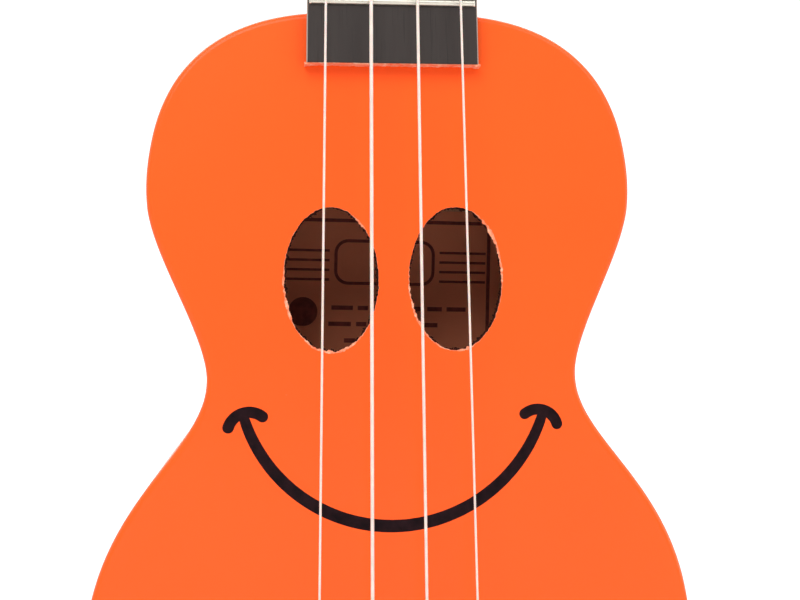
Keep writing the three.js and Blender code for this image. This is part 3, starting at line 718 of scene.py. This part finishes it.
def painted_stroke(name, path, half_width, lift, material):
    outline = stroke_outline(path, half_width)
    wobble = [0.03 * MM * noise.noise(Vector((x, 0, z)) / (1.4 * MM)) for x, z in outline]
    outline = inset_loop(anticlockwise(outline), np.array(wobble)[:, None])
    skin = Skin()
    edge = skin.ring(at_depth(outline, 0.01 * MM))
    crown = skin.ring(at_depth(inset_loop(outline, 0.04 * MM), -lift))
    skin.prism(edge, crown)
    skin.piece(name, material, slot="painted_top")


def heading(angle):
    return np.array([math.cos(angle), math.sin(angle)])


def smile(material):
    """The painted mouth, and a short curved tick across each of its ends."""
    centre = (SMILE_CENTRE[0], TAIL_Z + SMILE_CENTRE[1])
    bass, treble = (turn - math.pi / 2 for turn in SMILE_ENDS)
    steps = 90
    mouth = arc_path(centre, SMILE_RADIUS, bass, treble, steps)
    fullness = np.sqrt(np.sin(np.linspace(0, math.pi, steps)))
    widths = SMILE_END_STROKE + (SMILE_STROKE - SMILE_END_STROKE) * fullness
    painted_stroke("smile_line", mouth, widths / 2, PAINT_FILM, material)
    steps = 24
    for name, side, angle in (("smile_tick_bass", -1, bass), ("smile_tick_treble", 1, treble)):
        outward = angle + side * math.pi / 2
        end = centre + SMILE_RADIUS * heading(angle)
        pivot = end + (TICK_REACH - TICK_RADIUS) * heading(outward)
        tick = arc_path(pivot, TICK_RADIUS, outward - TICK_SPREAD, outward + TICK_SPREAD, steps)
        painted_stroke(name, tick, np.full(steps, TICK_STROKE / 2), PAINT_FILM * 1.3, material)


def on_label(a, b, lift):
    """A point of the paper label, from its middle. lift is how far it stands off the back."""
    c, s = math.cos(LABEL_TILT), math.sin(LABEL_TILT)
    x = LABEL_CENTRE[0] + c * a - s * b
    z = TAIL_Z + LABEL_CENTRE[1] + s * a + c * b
    return Vector((x, BACK_LOW.y - lift, z))


def sheet_point(a, b, base):
    """A point of the slightly cockled label sheet."""
    cockle = 0.05 * MM * (1 + noise.noise(Vector((a, b, 0)) / (9 * MM)))
    return on_label(a, b, base + cockle)


def label(paper_material, ink):
    """A plain paper label on the inside of the back: a ruled frame and blank panels."""
    width, height = LABEL_SIZE
    steps = 16
    shares = [i / steps - 0.5 for i in range(steps + 1)]
    skin = Skin()
    grids = []
    for base in (0.1 * MM, 0.02 * MM):
        rows = [skin.ring([sheet_point(width * a, height * b, base) for a in shares]) for b in shares]
        skin.bands(rows, closed=False)
        grids.append(rows)
    front, back = grids
    for end in (0, -1):
        skin.band(front[end], back[end], closed=False)
        skin.band([row[end] for row in front], [row[end] for row in back], closed=False)
    skin.piece("label_sheet", paper_material, slot="raw_wood")
    label_print(ink)


def film(skin, outline):
    """Rings round the front and the back of a printed shape."""
    return [skin.ring([on_label(a, b, lift) for a, b in outline]) for lift in INK_LIFTS]


def printed(skin, outline, hole=None):
    """A printed shape as a thin film, so that it shows on the paper."""
    high, low = film(skin, outline)
    if hole is None:
        skin.prism(high, low)
        return
    high_hole, low_hole = film(skin, hole)
    skin.bands([low_hole, high_hole, high, low, low_hole])


def printed_bar(skin, a0, a1, middle, thick):
    low, high = middle - thick / 2, middle + thick / 2
    printed(skin, [(a0, low), (a1, low), (a1, high), (a0, high)])


def label_print(ink):
    """Frame, ruled lines, an empty panel, plain bars for the small print and a plain disc."""
    skin = Skin()
    half_w, half_h = LABEL_SIZE[0] / 2 - 3 * MM, LABEL_SIZE[1] / 2 - 2.9 * MM
    outer = rounded_rectangle(0, 0, half_w, half_h, 0.5 * MM)
    printed(skin, outer, inset_loop(outer, 1.0 * MM))
    panel = rounded_rectangle(0, 9.6 * MM, 14.6 * MM, 6.6 * MM, 4 * MM)
    printed(skin, panel, inset_loop(panel, 0.9 * MM))
    for row in range(4):
        level = (4.4 + 2.8 * row) * MM
        printed_bar(skin, -half_w + 1.4 * MM, -16 * MM, level, 0.7 * MM)
        printed_bar(skin, 16 * MM, half_w - 1.4 * MM, level, 0.7 * MM)
    small_print = (
        # height of a row, then where each of its bars starts and ends, in mm
        (-3.7, ((-15.2, -9), (-7.6, -4.6), (9, 11.5), (12.7, 17), (18.4, 24))),
        (-8.4, ((-16, -9.5), (-8, -5), (9.5, 15.8))),
        (-13.2, ((-11.4, -8.2), (-6.8, -1), (0.6, 7))),
    )
    for level, spans in small_print:
        for start, end in spans:
            printed_bar(skin, start * MM, end * MM, level * MM, 1.25 * MM)
    printed(skin, arc_path((-23.4 * MM, -5 * MM), 4.2 * MM, 0, 2 * math.pi * 35 / 36, 36))
    skin.piece("label_print", ink, slot="raw_wood")


def rounded_rectangle(x, z, half_width, half_height, radius):
    corners = []
    for turn in range(4):
        a = turn * math.pi / 2
        cx = x + (half_width - radius) * (1 if turn in (0, 3) else -1)
        cz = z + (half_height - radius) * (1 if turn in (0, 1) else -1)
        corners.append(arc_path((cx, cz), radius, a, a + math.pi / 2, 9))
    return np.vstack(corners)


# ---- Neck ----

# Across, along and out of the headstock's front face.
HEAD_U = Vector((1, 0, 0))
HEAD_W = Vector(JOINTS["post_g_turn"]["axis"])
HEAD_V = HEAD_W.cross(HEAD_U)


def on_head(u, v, w):
    return HEAD_U * u + HEAD_V * v + HEAD_W * w


def board_half_width(z):
    """Half the fretboard's width at a height: it tapers evenly to the nut."""
    share = (z - BOARD_LOW.z) / (BOARD_HIGH.z - BOARD_LOW.z)
    return BOARD_HIGH.x + (NUT_HIGH.x - BOARD_HIGH.x) * share


def neck_depth(z):
    """How deep the CAD neck is behind the fretboard at a height."""
    hit, place, _, _ = frame["nodes"]["neck"].ray_cast(Vector((0.0001, 0.2, z)), Vector((0, -1, 0)))
    return place.y if hit else 0.0


def headstock_loops():
    """The outline of the headstock's front face and its holes, as (across, along) points."""
    loops = [np.array([(p.dot(HEAD_U), p.dot(HEAD_V)) for p in loop])
             for loop in face_loops("neck", HEAD_W, 0.0)]
    return loops[0], [loop for loop in loops[1:] if len(loop) > 10]


def neck_section(share):
    """A point of the neck's D-shaped section, from one edge (0) round the back to the other (1)."""
    angle = math.pi * share
    return math.cos(angle), math.sin(angle) ** 0.85


def head_section(share, half, depth, radius):
    """A point of the headstock's section: a flat rectangle with rounded back corners."""
    side = depth - radius
    corner = radius * math.pi / 2
    across = 2 * (half - radius)
    run = share * (2 * side + 2 * corner + across)
    mirrored = run > side + corner + across / 2
    if mirrored:
        run = 2 * side + 2 * corner + across - run
    if run < side:
        x, y = half, run
    elif run < side + corner:
        turn = (run - side) / radius
        x, y = half - radius + radius * math.cos(turn), side + radius * math.sin(turn)
    else:
        x, y = half - radius - (run - side - corner), depth
    return (-x if mirrored else x), y


def neck_shaft(material):
    """The shaft and heel, then a carved change of section into the headstock."""
    outline, _ = headstock_loops()
    low = TOP_HIGH.z - 1.2 * MM
    high = NUT_HIGH.z - 1 * MM
    heights = [low + (high - low) * t for t in np.linspace(0, 1, 90) ** 1.35]
    depths = np.array([neck_depth(max(z, TOP_HIGH.z + 0.4 * MM)) for z in heights])
    for _ in range(12):
        depths[1:-1] = (depths[:-2] + 2 * depths[1:-1] + depths[2:]) / 4
    shares = np.linspace(0, 1, 56)
    rings = []
    for z, depth in zip(heights, depths):
        half = board_half_width(z)
        rings.append([Vector((half * x, depth * y, z)) for x, y in map(neck_section, shares)])
    tuck = 0.04 * MM
    head_depth = head_thickness() - tuck
    straight_back = Vector((0, 1, 0))
    for v in np.linspace(1.2 * MM, HEADSTOCK_JOIN + 3 * MM, 18):
        turned = smooth_step(v / (9 * MM))
        squared = smooth_step((v - 3 * MM) / (HEADSTOCK_JOIN - 4 * MM))
        back = (straight_back * (1 - turned) - HEAD_W * turned).normalized()
        half = head_half_width(outline, v) - tuck
        depth = depths[-1] * (1 - squared) + head_depth * squared
        ring = []
        for share in shares:
            x, y = neck_section(share)
            flat_x, flat_y = head_section(share, half, depth, HEADSTOCK_ROUND)
            x = half * x * (1 - squared) + flat_x * squared
            y = depth * y * (1 - squared) + flat_y * squared
            ring.append(on_head(x, v, -0.03 * MM) + back * y)
        rings.append(ring)
    loft("neck_shaft", rings, material, node_names=["neck"], slot="neck_wood")


def smooth_step(t):
    t = min(max(t, 0.0), 1.0)
    return t * t * (3 - 2 * t)


def head_thickness():
    return -min(p.dot(HEAD_W) for p in cad_points("neck") if p.dot(HEAD_V) > 60 * MM)


def head_half_width(outline, v):
    """Half the headstock's width at a distance along it."""
    right = outline[(outline[:, 0] > 0)]
    order = np.argsort(right[:, 1])
    return float(np.interp(v, right[order, 1], right[order, 0]))


def head_plate(name, plan, holes, top, thickness, radius, material, slot):
    """A layer of the headstock, top below its face, with rounded edges and straight holes."""
    skin = Skin()

    def ring(loop, depth):
        return skin.ring([on_head(a, b, -top - depth) for a, b in loop])

    front = round_edge(radius, 6)
    back = [(inset, thickness - depth) for inset, depth in reversed(front)]
    rings = [ring(inset_loop(plan, inset), depth) for inset, depth in [*front, *back]]
    skin.bands(rings)
    fronts, backs = [rings[0]], [rings[-1]]
    for hole in holes:
        fronts.append(ring(hole, 0))
        backs.append(ring(hole, thickness))
        skin.band(fronts[-1], backs[-1])
    skin.fill(fronts)
    skin.fill(backs)
    skin.piece(name, material, slot)


def clip_below(loop, level):
    """The part of a headstock loop that is beyond a distance along it."""
    kept = loop[loop[:, 1] > level]
    half = head_half_width(loop, level)
    start = int(np.argmax(np.abs(np.diff(np.vstack([kept, kept[:1]]), axis=0)).sum(1)))
    kept = np.roll(kept, -(start + 1), 0)
    if kept[0, 0] >= 0:
        half = -half
    return np.vstack([kept, [[half, level], [-half, level]]])


def headstock(wood_material, paint_material):
    """The wooden head, and the painted veneer on its face."""
    outline, holes = headstock_loops()
    smooth = anticlockwise(smooth_loop(outline, 1.0 * MM, corner=50))
    plan, face_plan = (anticlockwise(even_loop(clip_below(smooth, level), 1.0 * MM))
                       for level in (HEADSTOCK_JOIN, 0.4 * MM))
    holes = [anticlockwise(smooth_loop(hole, 0.6 * MM)) for hole in holes]
    head_plate("headstock", plan, holes, VENEER, head_thickness() - VENEER, HEADSTOCK_ROUND,
               wood_material, "neck_wood")
    head_plate("headstock_veneer", inset_loop(face_plan, 0.12 * MM), holes, 0, VENEER, 0.35 * MM,
               paint_material, "painted_top")


def fretboard(material, highlight_material, dot_material):
    """The tapered board, with a paler line along each long edge: a painted highlight where the eased
    edges catch the light.
    """
    skin = Skin()
    ease, end_ease = 0.3 * MM, 0.1 * MM
    rings = []
    for z, drop in ((BOARD_LOW.z, end_ease), (BOARD_LOW.z + end_ease, 0), (BOARD_HIGH.z, 0)):
        half = board_half_width(z)
        front = BOARD_LOW.y + drop
        section = [(-half, BOARD_HIGH.y), (-half, front + ease), (ease - half, front),
                   (half - ease, front), (half, front + ease), (half, BOARD_HIGH.y)]
        rings.append(skin.ring([Vector((x, y, z)) for x, y in section]))
    for a, b in zip(rings, rings[1:]):
        for i in range(len(a)):
            j = (i + 1) % len(a)
            # The two eased edges take slot 1, a paler colour: a painted highlight.
            skin.face((a[i], a[j], b[j], b[i]), 1 if i in (1, 3) else 0)
    skin.fill([rings[0]])
    skin.fill([rings[-1]])
    skin.piece("fingerboard", [material, highlight_material], node_names=["fretboard"], slot="fretboard")
    for number in DOT_FRETS:
        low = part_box(f"fret_{number:02d}")[1].z
        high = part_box(f"fret_{number - 1:02d}")[0].z
        foot = Vector((0, BOARD_LOW.y, (low + high) / 2))
        place = around(foot, Vector((1, 0, 0)), Vector((0, 0, 1)), Vector((0, 1, 0)))
        lathe(f"position_dot_{number:02d}", [(3.0, 0.2), (3.0, 0.02), (2.8, -0.05)], place,
              dot_material, 48, slot="bone")


def board_end_line(material):
    """The uneven coat of cracked, pale lacquer on the fretboard's end."""
    high, low = [], []
    for x in np.linspace(BOARD_LOW.x - 0.5 * MM, BOARD_HIGH.x + 0.5 * MM, 170):
        place = Vector((x, 0, 0.3))
        reach = 0.22 + 0.2 * noise.noise(place / (1.1 * MM)) + 0.14 * noise.noise(place / (0.4 * MM))
        corner = (BOARD_HIGH.x - abs(x)) / (1.2 * MM)
        reach = max(reach, 0.06) + 0.22 * math.exp(-corner * corner)
        low.append((x, BOARD_LOW.z - reach * MM))
        high.append((x, BOARD_LOW.z + 0.05 * MM))
    outline = [*low, *reversed(high)]
    skin = Skin()
    crown = skin.ring(at_depth(outline, BOARD_LOW.y + 0.3 * MM))
    foot = skin.ring(at_depth(outline, 0.02 * MM))
    skin.prism(crown, foot)
    skin.piece("board_end_line", material, slot="painted_top")


def fret(number, material):
    """A fret's rounded crown with its ends filed at a slant."""
    node = f"fret_{number:02d}"
    low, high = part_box(node)
    middle = (low.z + high.z) / 2
    half = (high.z - low.z) / 2
    height = high.y - low.y
    foot = high.y + 0.2 * MM
    filed = ((0.0, 0.15), (0.25 * MM, 0.7), (0.6 * MM, 1.0))
    stations = [(low.x + x, share) for x, share in filed]
    stations += [(high.x - x, share) for x, share in reversed(filed)]
    rings = []
    for x, share in stations:
        crown = [(high.y - share * height * math.sin(a) ** 0.8, middle + half * math.cos(a))
                 for a in np.linspace(0, math.pi, 13)]
        outline = [*crown, (foot, middle - half), (foot, middle + half)]
        rings.append([Vector((x, y, z)) for y, z in outline])
    loft(node + "_crown", rings, material, node_names=[node], slot="fret_metal", smooth_angle=50)


# ---- Strings ----

def centre_between(node, low, high):
    """The middle of a CAD string's section between two heights, and its half width."""
    points = [p for p in cad_points(node) if low < p.z < high]
    left, right = min(p.x for p in points), max(p.x for p in points)
    front, rear = min(p.y for p in points), max(p.y for p in points)
    return Vector(((right + left) / 2, (rear + front) / 2, 0)), (right - left) / 2


def string_route(key):
    """A string's corner points from its knot to its post, and its radius."""
    node = f"string_{key}"
    over_saddle, radius = centre_between(node, SADDLE_LOW.z, SADDLE_HIGH.z)
    over_nut, _ = centre_between(node, NUT_LOW.z, NUT_HIGH.z + 0.1 * MM)
    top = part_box(node)[1].z
    last = [p for p in cad_points(node) if p.z > top - radius * 1.5]
    end = sum(last, Vector()) / len(last)
    knot = knot_centre(key)
    x = over_saddle.x
    return [
        knot,
        Vector((x, knot.y, BRIDGE_LOW.z + 1.2 * MM)),
        Vector((x, knot.y - 0.5 * MM, BRIDGE_LOW.z + 2.6 * MM)),
        Vector((x, over_saddle.y + 0.35 * MM, SADDLE_LOW.z - 0.2 * MM)),
        Vector((x, over_saddle.y, SADDLE_HIGH.z - 0.6 * MM)),
        Vector((over_nut.x, over_nut.y, NUT_LOW.z + 0.5 * MM)),
        Vector((over_nut.x, over_nut.y, NUT_HIGH.z)),
        end,
    ], radius


def knot_centre(key):
    points = [p for p in cad_points(f"string_{key}") if p.z < BRIDGE_LOW.z - 0.05 * MM]
    low = Vector(min(p[i] for p in points) for i in range(3))
    high = Vector(max(p[i] for p in points) for i in range(3))
    return Vector(((low.x + high.x) / 2, (low.y + high.y) / 2, low.z + (high.x - low.x) / 2))


def string(key, material):
    corners, radius = string_route(key)
    rings = sweep_rings(rounded_path(corners, 1.2 * MM), radius, 20, Vector((1, 0, 0)))
    node = f"string_{key}"
    loft(node + "_line", rings, material, node_names=[node], slot="nylon", smooth_angle=60)
    knot(key, corners[0], radius, material)


def knot(key, centre, radius, material):
    """A small overhand knot that stops the string behind the bridge."""
    size = 0.42 * MM
    path = [centre + Vector((size * (math.sin(t) + 2 * math.sin(2 * t)) * 0.72,
                             size * (math.cos(t) - 2 * math.cos(2 * t)) * 0.72,
                             -0.45 * MM * math.sin(3 * t)))
            for t in full_turn(72)]
    thick = min(radius * 1.05, size)
    rings = []
    for before, point, after in zip(path[-1:] + path, path, path[1:] + path[:1]):
        along = (after - before).normalized()
        side = along.cross(Vector((0.1, 0.2, 1))).normalized()
        rings.append(circle(point, thick, side, along.cross(side), 12))
    loft(f"string_{key}_knot", [*rings, rings[0]], material, capped=False, slot="nylon", smooth_angle=60)


# ---- Tuners ----

def post_place(key):
    """Maps (a, b, height) round a string post's axis to the row frame."""
    return around(Vector(JOINTS[f"post_{key}_turn"]["pos_m"]), HEAD_U, HEAD_V, HEAD_W)


def side_of(key):
    """Which side of the headstock a string's tuner is on: -1 for the first two strings."""
    return -1 if key in "gc" else 1


def winding(key, material):
    """The string's turns round its post, lying close, with the tail going into the post."""
    node = f"winding_{key}"
    side = side_of(key)
    place = post_place(key)
    foot = place(0, 0, 0)
    heights = [(p - foot).dot(HEAD_W) for p in cad_points(node)]
    _, radius = string_route(key)
    coil = 3.0 * MM + radius + 0.02 * MM
    low, high = min(heights) + radius, max(heights) - radius
    start = math.pi if side > 0 else 0.0
    sweep = side * 2 * math.pi * 3.25
    path = []
    for t in np.linspace(0, 1, 130):
        angle = start - sweep * t
        path.append(place(coil * math.cos(angle), coil * math.sin(angle), low + (high - low) * t))
    for t in np.linspace(0, 1, 12)[1:]:
        bend = start - sweep - side * 1.1 * t
        inward = coil * (1 - 0.35 * t * t)
        path.append(place(inward * math.cos(bend), inward * math.sin(bend), high + 1.1 * MM * t))
    rings = sweep_rings(path, radius, 14, HEAD_W)
    loft(node + "_coil", rings, material, node_names=[node], body=f"post_{key}", slot="nylon",
         smooth_angle=60)


def button(key, material):
    """An oval knob on a short neck, with a shallow dish on each face, and its metal collar."""
    node = f"tuner_button_{key}"
    low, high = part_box(node)
    side = side_of(key)
    length = high.x - low.x
    axis = Vector(JOINTS[f"key_{key}_turn"]["pos_m"])
    root = Vector((low.x if side > 0 else high.x, axis.y, axis.z))
    place = around(root, HEAD_V, HEAD_W, Vector((side, 0, 0)))
    stations = [
        # share of its length, half width and half thickness in mm
        (0.0, 2.2, 2.2), (0.02, 2.6, 2.6), (0.08, 2.75, 2.7), (0.14, 3.1, 2.6), (0.22, 4.9, 2.8),
        (0.32, 6.7, 3.2), (0.45, 8.0, 3.6), (0.6, 8.4, 3.75), (0.74, 7.9, 3.6), (0.86, 6.4, 3.2),
        (0.95, 4.2, 2.4), (0.99, 2.4, 1.6), (1.0, 1.0, 0.7),
    ]
    rings = []
    for share, half_v, half_w in stations:
        ring = []
        for a in full_turn(40):
            c, s = math.cos(a), math.sin(a)
            dish = 1 - 0.12 * max(0.0, 1 - abs(c) * 1.5) * max(0.0, 1 - abs(share - 0.55) * 3)
            ring.append(place(half_v * MM * c, half_w * MM * s * dish, share * length))
        rings.append(ring)
    piece = loft(node + "_knob", rings, material, node_names=[node], body=f"key_{key}",
                 slot="tuner_button")
    smooth = piece.modifiers.new("smooth", "SUBSURF")
    smooth.levels = smooth.render_levels = 1
    profile = [(1.5, -0.9), (2.5, -0.9), (2.7, -0.7), (2.7, 0.3), (1.5, 0.3)]
    lathe(f"tuner_collar_{key}", profile, place, MATERIALS["nickel"], 32, body=f"key_{key}",
          slot="nickel")


def bushing(key, material):
    """The pressed ring round the post on the headstock's face."""
    profile = [(3.25, -2), (3.25, 0.9), (3.6, 1.1), (4.4, 0.95), (5.1, 0.45), (5.3, 0.02),
               (5.3, -0.3), (3.6, -0.3), (3.6, -2), (3.25, -2)]
    lathe(f"bushing_{key}", profile, post_place(key), material, 48, slot="nickel")


def screw(name, centre, size, material, body=INSTRUMENT):
    """A domed cross-head screw on the headstock's back. size is its radius in mm."""
    out = -HEAD_W
    place = around(centre, HEAD_U, out.cross(HEAD_U), out)
    profile = [(size, -0.1), (size, 0.12 * size), (0.86 * size, 0.42 * size),
               (0.6 * size, 0.6 * size), (0.3 * size, 0.68 * size)]
    lathe(name, profile, place, material, 24, body=body, slot="nickel")
    # The cross is a dark raised shape where the recess would be: painted shade of the recess.
    radius = size * MM
    reach, half = 0.62 * radius, 0.11 * radius
    shape = [(half, half), (half, reach), (-half, reach)]
    for _ in range(3):
        shape += [(-b, a) for a, b in shape[-3:]]
    skin = Skin()
    skin.prism(*(skin.ring([place(a, b, h * radius) for a, b in shape]) for h in (0.72, 0.3)))
    skin.piece(name + "_cross", MATERIALS["screw_cross_shade"], body=body, slot="nickel")


def tuner(key, smoothing):
    """One tuner: plate, post, gear, worm, bushing, string turns, knob and screws."""
    nickel = MATERIALS["nickel"]
    soften(f"tuner_plate_{key}", nickel, 0.18 * MM, 2, 40)
    for part, material in (("post", nickel), ("gear", MATERIALS["brass"]), ("worm", nickel)):
        piece = dress(f"tuner_{part}_{key}", material)
        weld(piece)
        piece.modifiers.new("smooth", "NODES").node_group = smoothing
    bushing(key, nickel)
    winding(key, MATERIALS["nylon"])
    button(key, MATERIALS["pearl"])
    place = post_place(key)
    foot = place(0, 0, 0)
    gear_back = min((p - foot).dot(HEAD_W) for p in cad_points(f"tuner_gear_{key}"))
    screw(f"gear_screw_{key}", place(0, 0, gear_back), 2.9, nickel, body=f"post_{key}")
    plate = [p - foot for p in cad_points(f"tuner_plate_{key}")]
    back = -head_thickness() - 1.05 * MM
    across = max(p.dot(HEAD_U) for p in plate) - 2 * MM
    bottom = min(p.dot(HEAD_V) for p in plate) + 1.9 * MM
    top = max(p.dot(HEAD_V) for p in plate) - 1.6 * MM
    for number, (a, b) in enumerate(((across, bottom), (-across, bottom), (0, top))):
        screw(f"plate_screw_{key}_{number}", place(a, b, back), 1.35, nickel)


def smooth_group(angle):
    """Geometry nodes that shade a piece smooth, and keep its edges sharp over an angle."""
    group = bpy.data.node_groups.new("smooth_by_angle", "GeometryNodeTree")
    for direction in ("INPUT", "OUTPUT"):
        group.interface.new_socket("Geometry", in_out=direction, socket_type="NodeSocketGeometry")
    start, end, edge_angle, compare, faces, edges = (group.nodes.new(kind) for kind in (
        "NodeGroupInput", "NodeGroupOutput", "GeometryNodeInputMeshEdgeAngle",
        "FunctionNodeCompare", "GeometryNodeSetShadeSmooth", "GeometryNodeSetShadeSmooth"))
    compare.operation = "GREATER_THAN"
    compare.inputs[1].default_value = math.radians(angle)
    edges.domain = "EDGE"
    edges.inputs["Shade Smooth"].default_value = False
    group.links.new(start.outputs[0], faces.inputs[0])
    group.links.new(faces.outputs[0], edges.inputs[0])
    group.links.new(edge_angle.outputs["Unsigned Angle"], compare.inputs[0])
    group.links.new(compare.outputs[0], edges.inputs["Selection"])
    group.links.new(edges.outputs[0], end.inputs[0])
    return group


# ---- Stage ----

def camera():
    data = bpy.data.cameras.new("camera")
    data.lens = CAMERA_LENS
    data.sensor_width = 36
    data.shift_x, data.shift_y = CAMERA_SHIFT
    turn = Matrix.Rotation(CAMERA_TURN, 3, "Z") @ Matrix.Rotation(CAMERA_TIP, 3, "X")
    right, ahead, up = (turn @ Vector(axis) for axis in ((1, 0, 0), (0, 1, 0), (0, 0, 1)))
    c, s = math.cos(CAMERA_ROLL), math.sin(CAMERA_ROLL)
    right, up = c * right + s * up, c * up - s * right
    rotation = Matrix((right, up, -ahead)).transposed()
    view = bpy.data.objects.new("camera", data)
    place = CAMERA_FROM_TAIL + Vector((0, 0, TAIL_Z))
    view.matrix_world = Matrix.Translation(place) @ rotation.to_4x4()
    bpy.context.scene.collection.objects.link(view)
    bpy.context.scene.camera = view


def soft_light(name, place, target, size, power):
    data = bpy.data.lights.new(name, "AREA")
    data.shape = "RECTANGLE"
    data.size, data.size_y = size
    data.energy = power
    lamp = bpy.data.objects.new(name, data)
    lamp.location = place
    lamp.rotation_euler = (target - place).to_track_quat("-Z", "Y").to_euler()
    bpy.context.scene.collection.objects.link(lamp)


def studio_world():
    """Even white light, dimmer from the camera's side so that the lacquer doesn't haze over."""
    world = bpy.data.worlds.new("studio")
    world.use_nodes = True
    nodes, links = world.node_tree.nodes, world.node_tree.links
    direction = nodes.new("ShaderNodeTexCoord").outputs["Generated"]
    parts = nodes.new("ShaderNodeSeparateXYZ")
    links.new(direction, parts.inputs[0])
    strength = nodes.new("ShaderNodeMapRange")
    strength.interpolation_type = "SMOOTHSTEP"
    for name, value in (("From Min", -0.55), ("From Max", 0.15), ("To Min", 0.5), ("To Max", 1.25)):
        strength.inputs[name].default_value = value
    links.new(parts.outputs["Y"], strength.inputs["Value"])
    background = nodes["Background"]
    background.inputs["Color"].default_value = (1, 1, 1, 1)
    links.new(strength.outputs["Result"], background.inputs["Strength"])
    bpy.context.scene.world = world


def studio_floor():
    """A round sheet of paper under the instrument."""
    level = TAIL_Z - 0.5 * MM
    rim = arc_path((0, 0), FLOOR_RADIUS, 0, math.radians(357), 120)
    skin = Skin()
    skin.cap(skin.ring([Vector((x, y, level)) for x, y in rim]))
    floor = bpy.data.objects.new("floor", skin.mesh("floor", [floor_paper()]))
    bpy.context.scene.collection.objects.link(floor)


def stage():
    studio_world()
    studio_floor()
    bpy.context.scene.view_settings.view_transform = "Standard"
    middle = Vector((0, 0, (TAIL_Z + TOP_HIGH.z) / 2))
    for name, offset, size, power in LIGHTS:
        soft_light(name, middle + Vector(offset), middle, size, power)
    behind = Vector((0, 1.7, TAIL_Z))
    soft_light("backdrop", behind + Vector((0, 0, 1.5)), behind, (3.0, 2.4), 42)


camera()
stage()

MATERIALS = {
    "paint": paint(),
    "chipped_edge": chipped_edge(),
    "hole_wall_shade": hole_wall_shade(),
    "raw_wood": wood("raw_spruce", (0.50, 0.33, 0.18), (0.66, 0.48, 0.29)),
    "inside_wood": wood("inside_wood", (0.58, 0.27, 0.15), (0.74, 0.40, 0.24), roughness=0.8),
    "neck_wood": wood("neck_mahogany", (0.20, 0.085, 0.040), (0.33, 0.155, 0.075),
                      roughness=0.45, bump=0.05, gloss=0.15),
    "fretboard": wood("dark_fretboard", (0.027, 0.020, 0.018), (0.037, 0.029, 0.026), 2.6, 0.6,
                      bump=0.03),
    # A pale colour for the fretboard's eased edges: painted highlight.
    "board_edge_highlight": wood("painted_board_edge_highlight", (0.26, 0.21, 0.18), (0.42, 0.36, 0.31), 1.3, 0.6,
                       bump=0.04),
    "bridge": wood("dark_bridge", (0.035, 0.024, 0.018), (0.075, 0.050, 0.038), 1.3, 0.55, "X", 0.06),
    "fret_metal": metal("nickel_silver", (0.74, 0.70, 0.60), 0.28, (0.05, 1, 1)),
    "nickel": metal("nickel_plate", (0.72, 0.71, 0.68), 0.22),
    "brass": metal("brass_gear", (0.78, 0.58, 0.28), 0.3),
    # A dark grey for the screws' crosses: painted shade of their recesses.
    "screw_cross_shade": metal("screw_recess_painted_shade", (0.10, 0.10, 0.10), 0.6),
    "nylon": nylon(),
    "bone": bone(),
    "pearl": pearl(),
    "smile": smile_paint(),
    "paper": paper(),
    "ink": label_ink(),
}


def build():
    wood_inside = MATERIALS["inside_wood"]
    soundboard([MATERIALS["paint"], MATERIALS["chipped_edge"], MATERIALS["hole_wall_shade"], wood_inside])
    back_panel([MATERIALS["paint"], wood_inside])
    side_wall("side_bass", -1, "rim_bass", [MATERIALS["paint"], wood_inside])
    side_wall("side_treble", 1, "rim_treble", [MATERIALS["paint"], wood_inside])
    smile(MATERIALS["smile"])
    label(MATERIALS["paper"], MATERIALS["ink"])
    for node in ("neck_block", "tail_block", "bridge_patch", "brace_top_upper", "brace_top_lower",
                 "brace_back_upper", "brace_back_lower"):
        soften(node, MATERIALS["raw_wood"], 0.5 * MM)
    for level in ("top", "back"):
        for side in ("bass", "treble"):
            dress(f"lining_{level}_{side}", MATERIALS["raw_wood"])
    neck_shaft(MATERIALS["neck_wood"])
    headstock(MATERIALS["neck_wood"], MATERIALS["paint"])
    fretboard(MATERIALS["fretboard"], MATERIALS["board_edge_highlight"], MATERIALS["bone"])
    board_end_line(MATERIALS["chipped_edge"])
    for number in range(1, 13):
        fret(number, MATERIALS["fret_metal"])
    soften("nut", MATERIALS["bone"], 0.25 * MM)
    soften("saddle", MATERIALS["bone"], 0.25 * MM)
    soften("bridge", MATERIALS["bridge"], 0.4 * MM, 3)
    smoothing = smooth_group(32)
    for key in STRINGS:
        string(key, MATERIALS["nylon"])
        tuner(key, smoothing)


build()
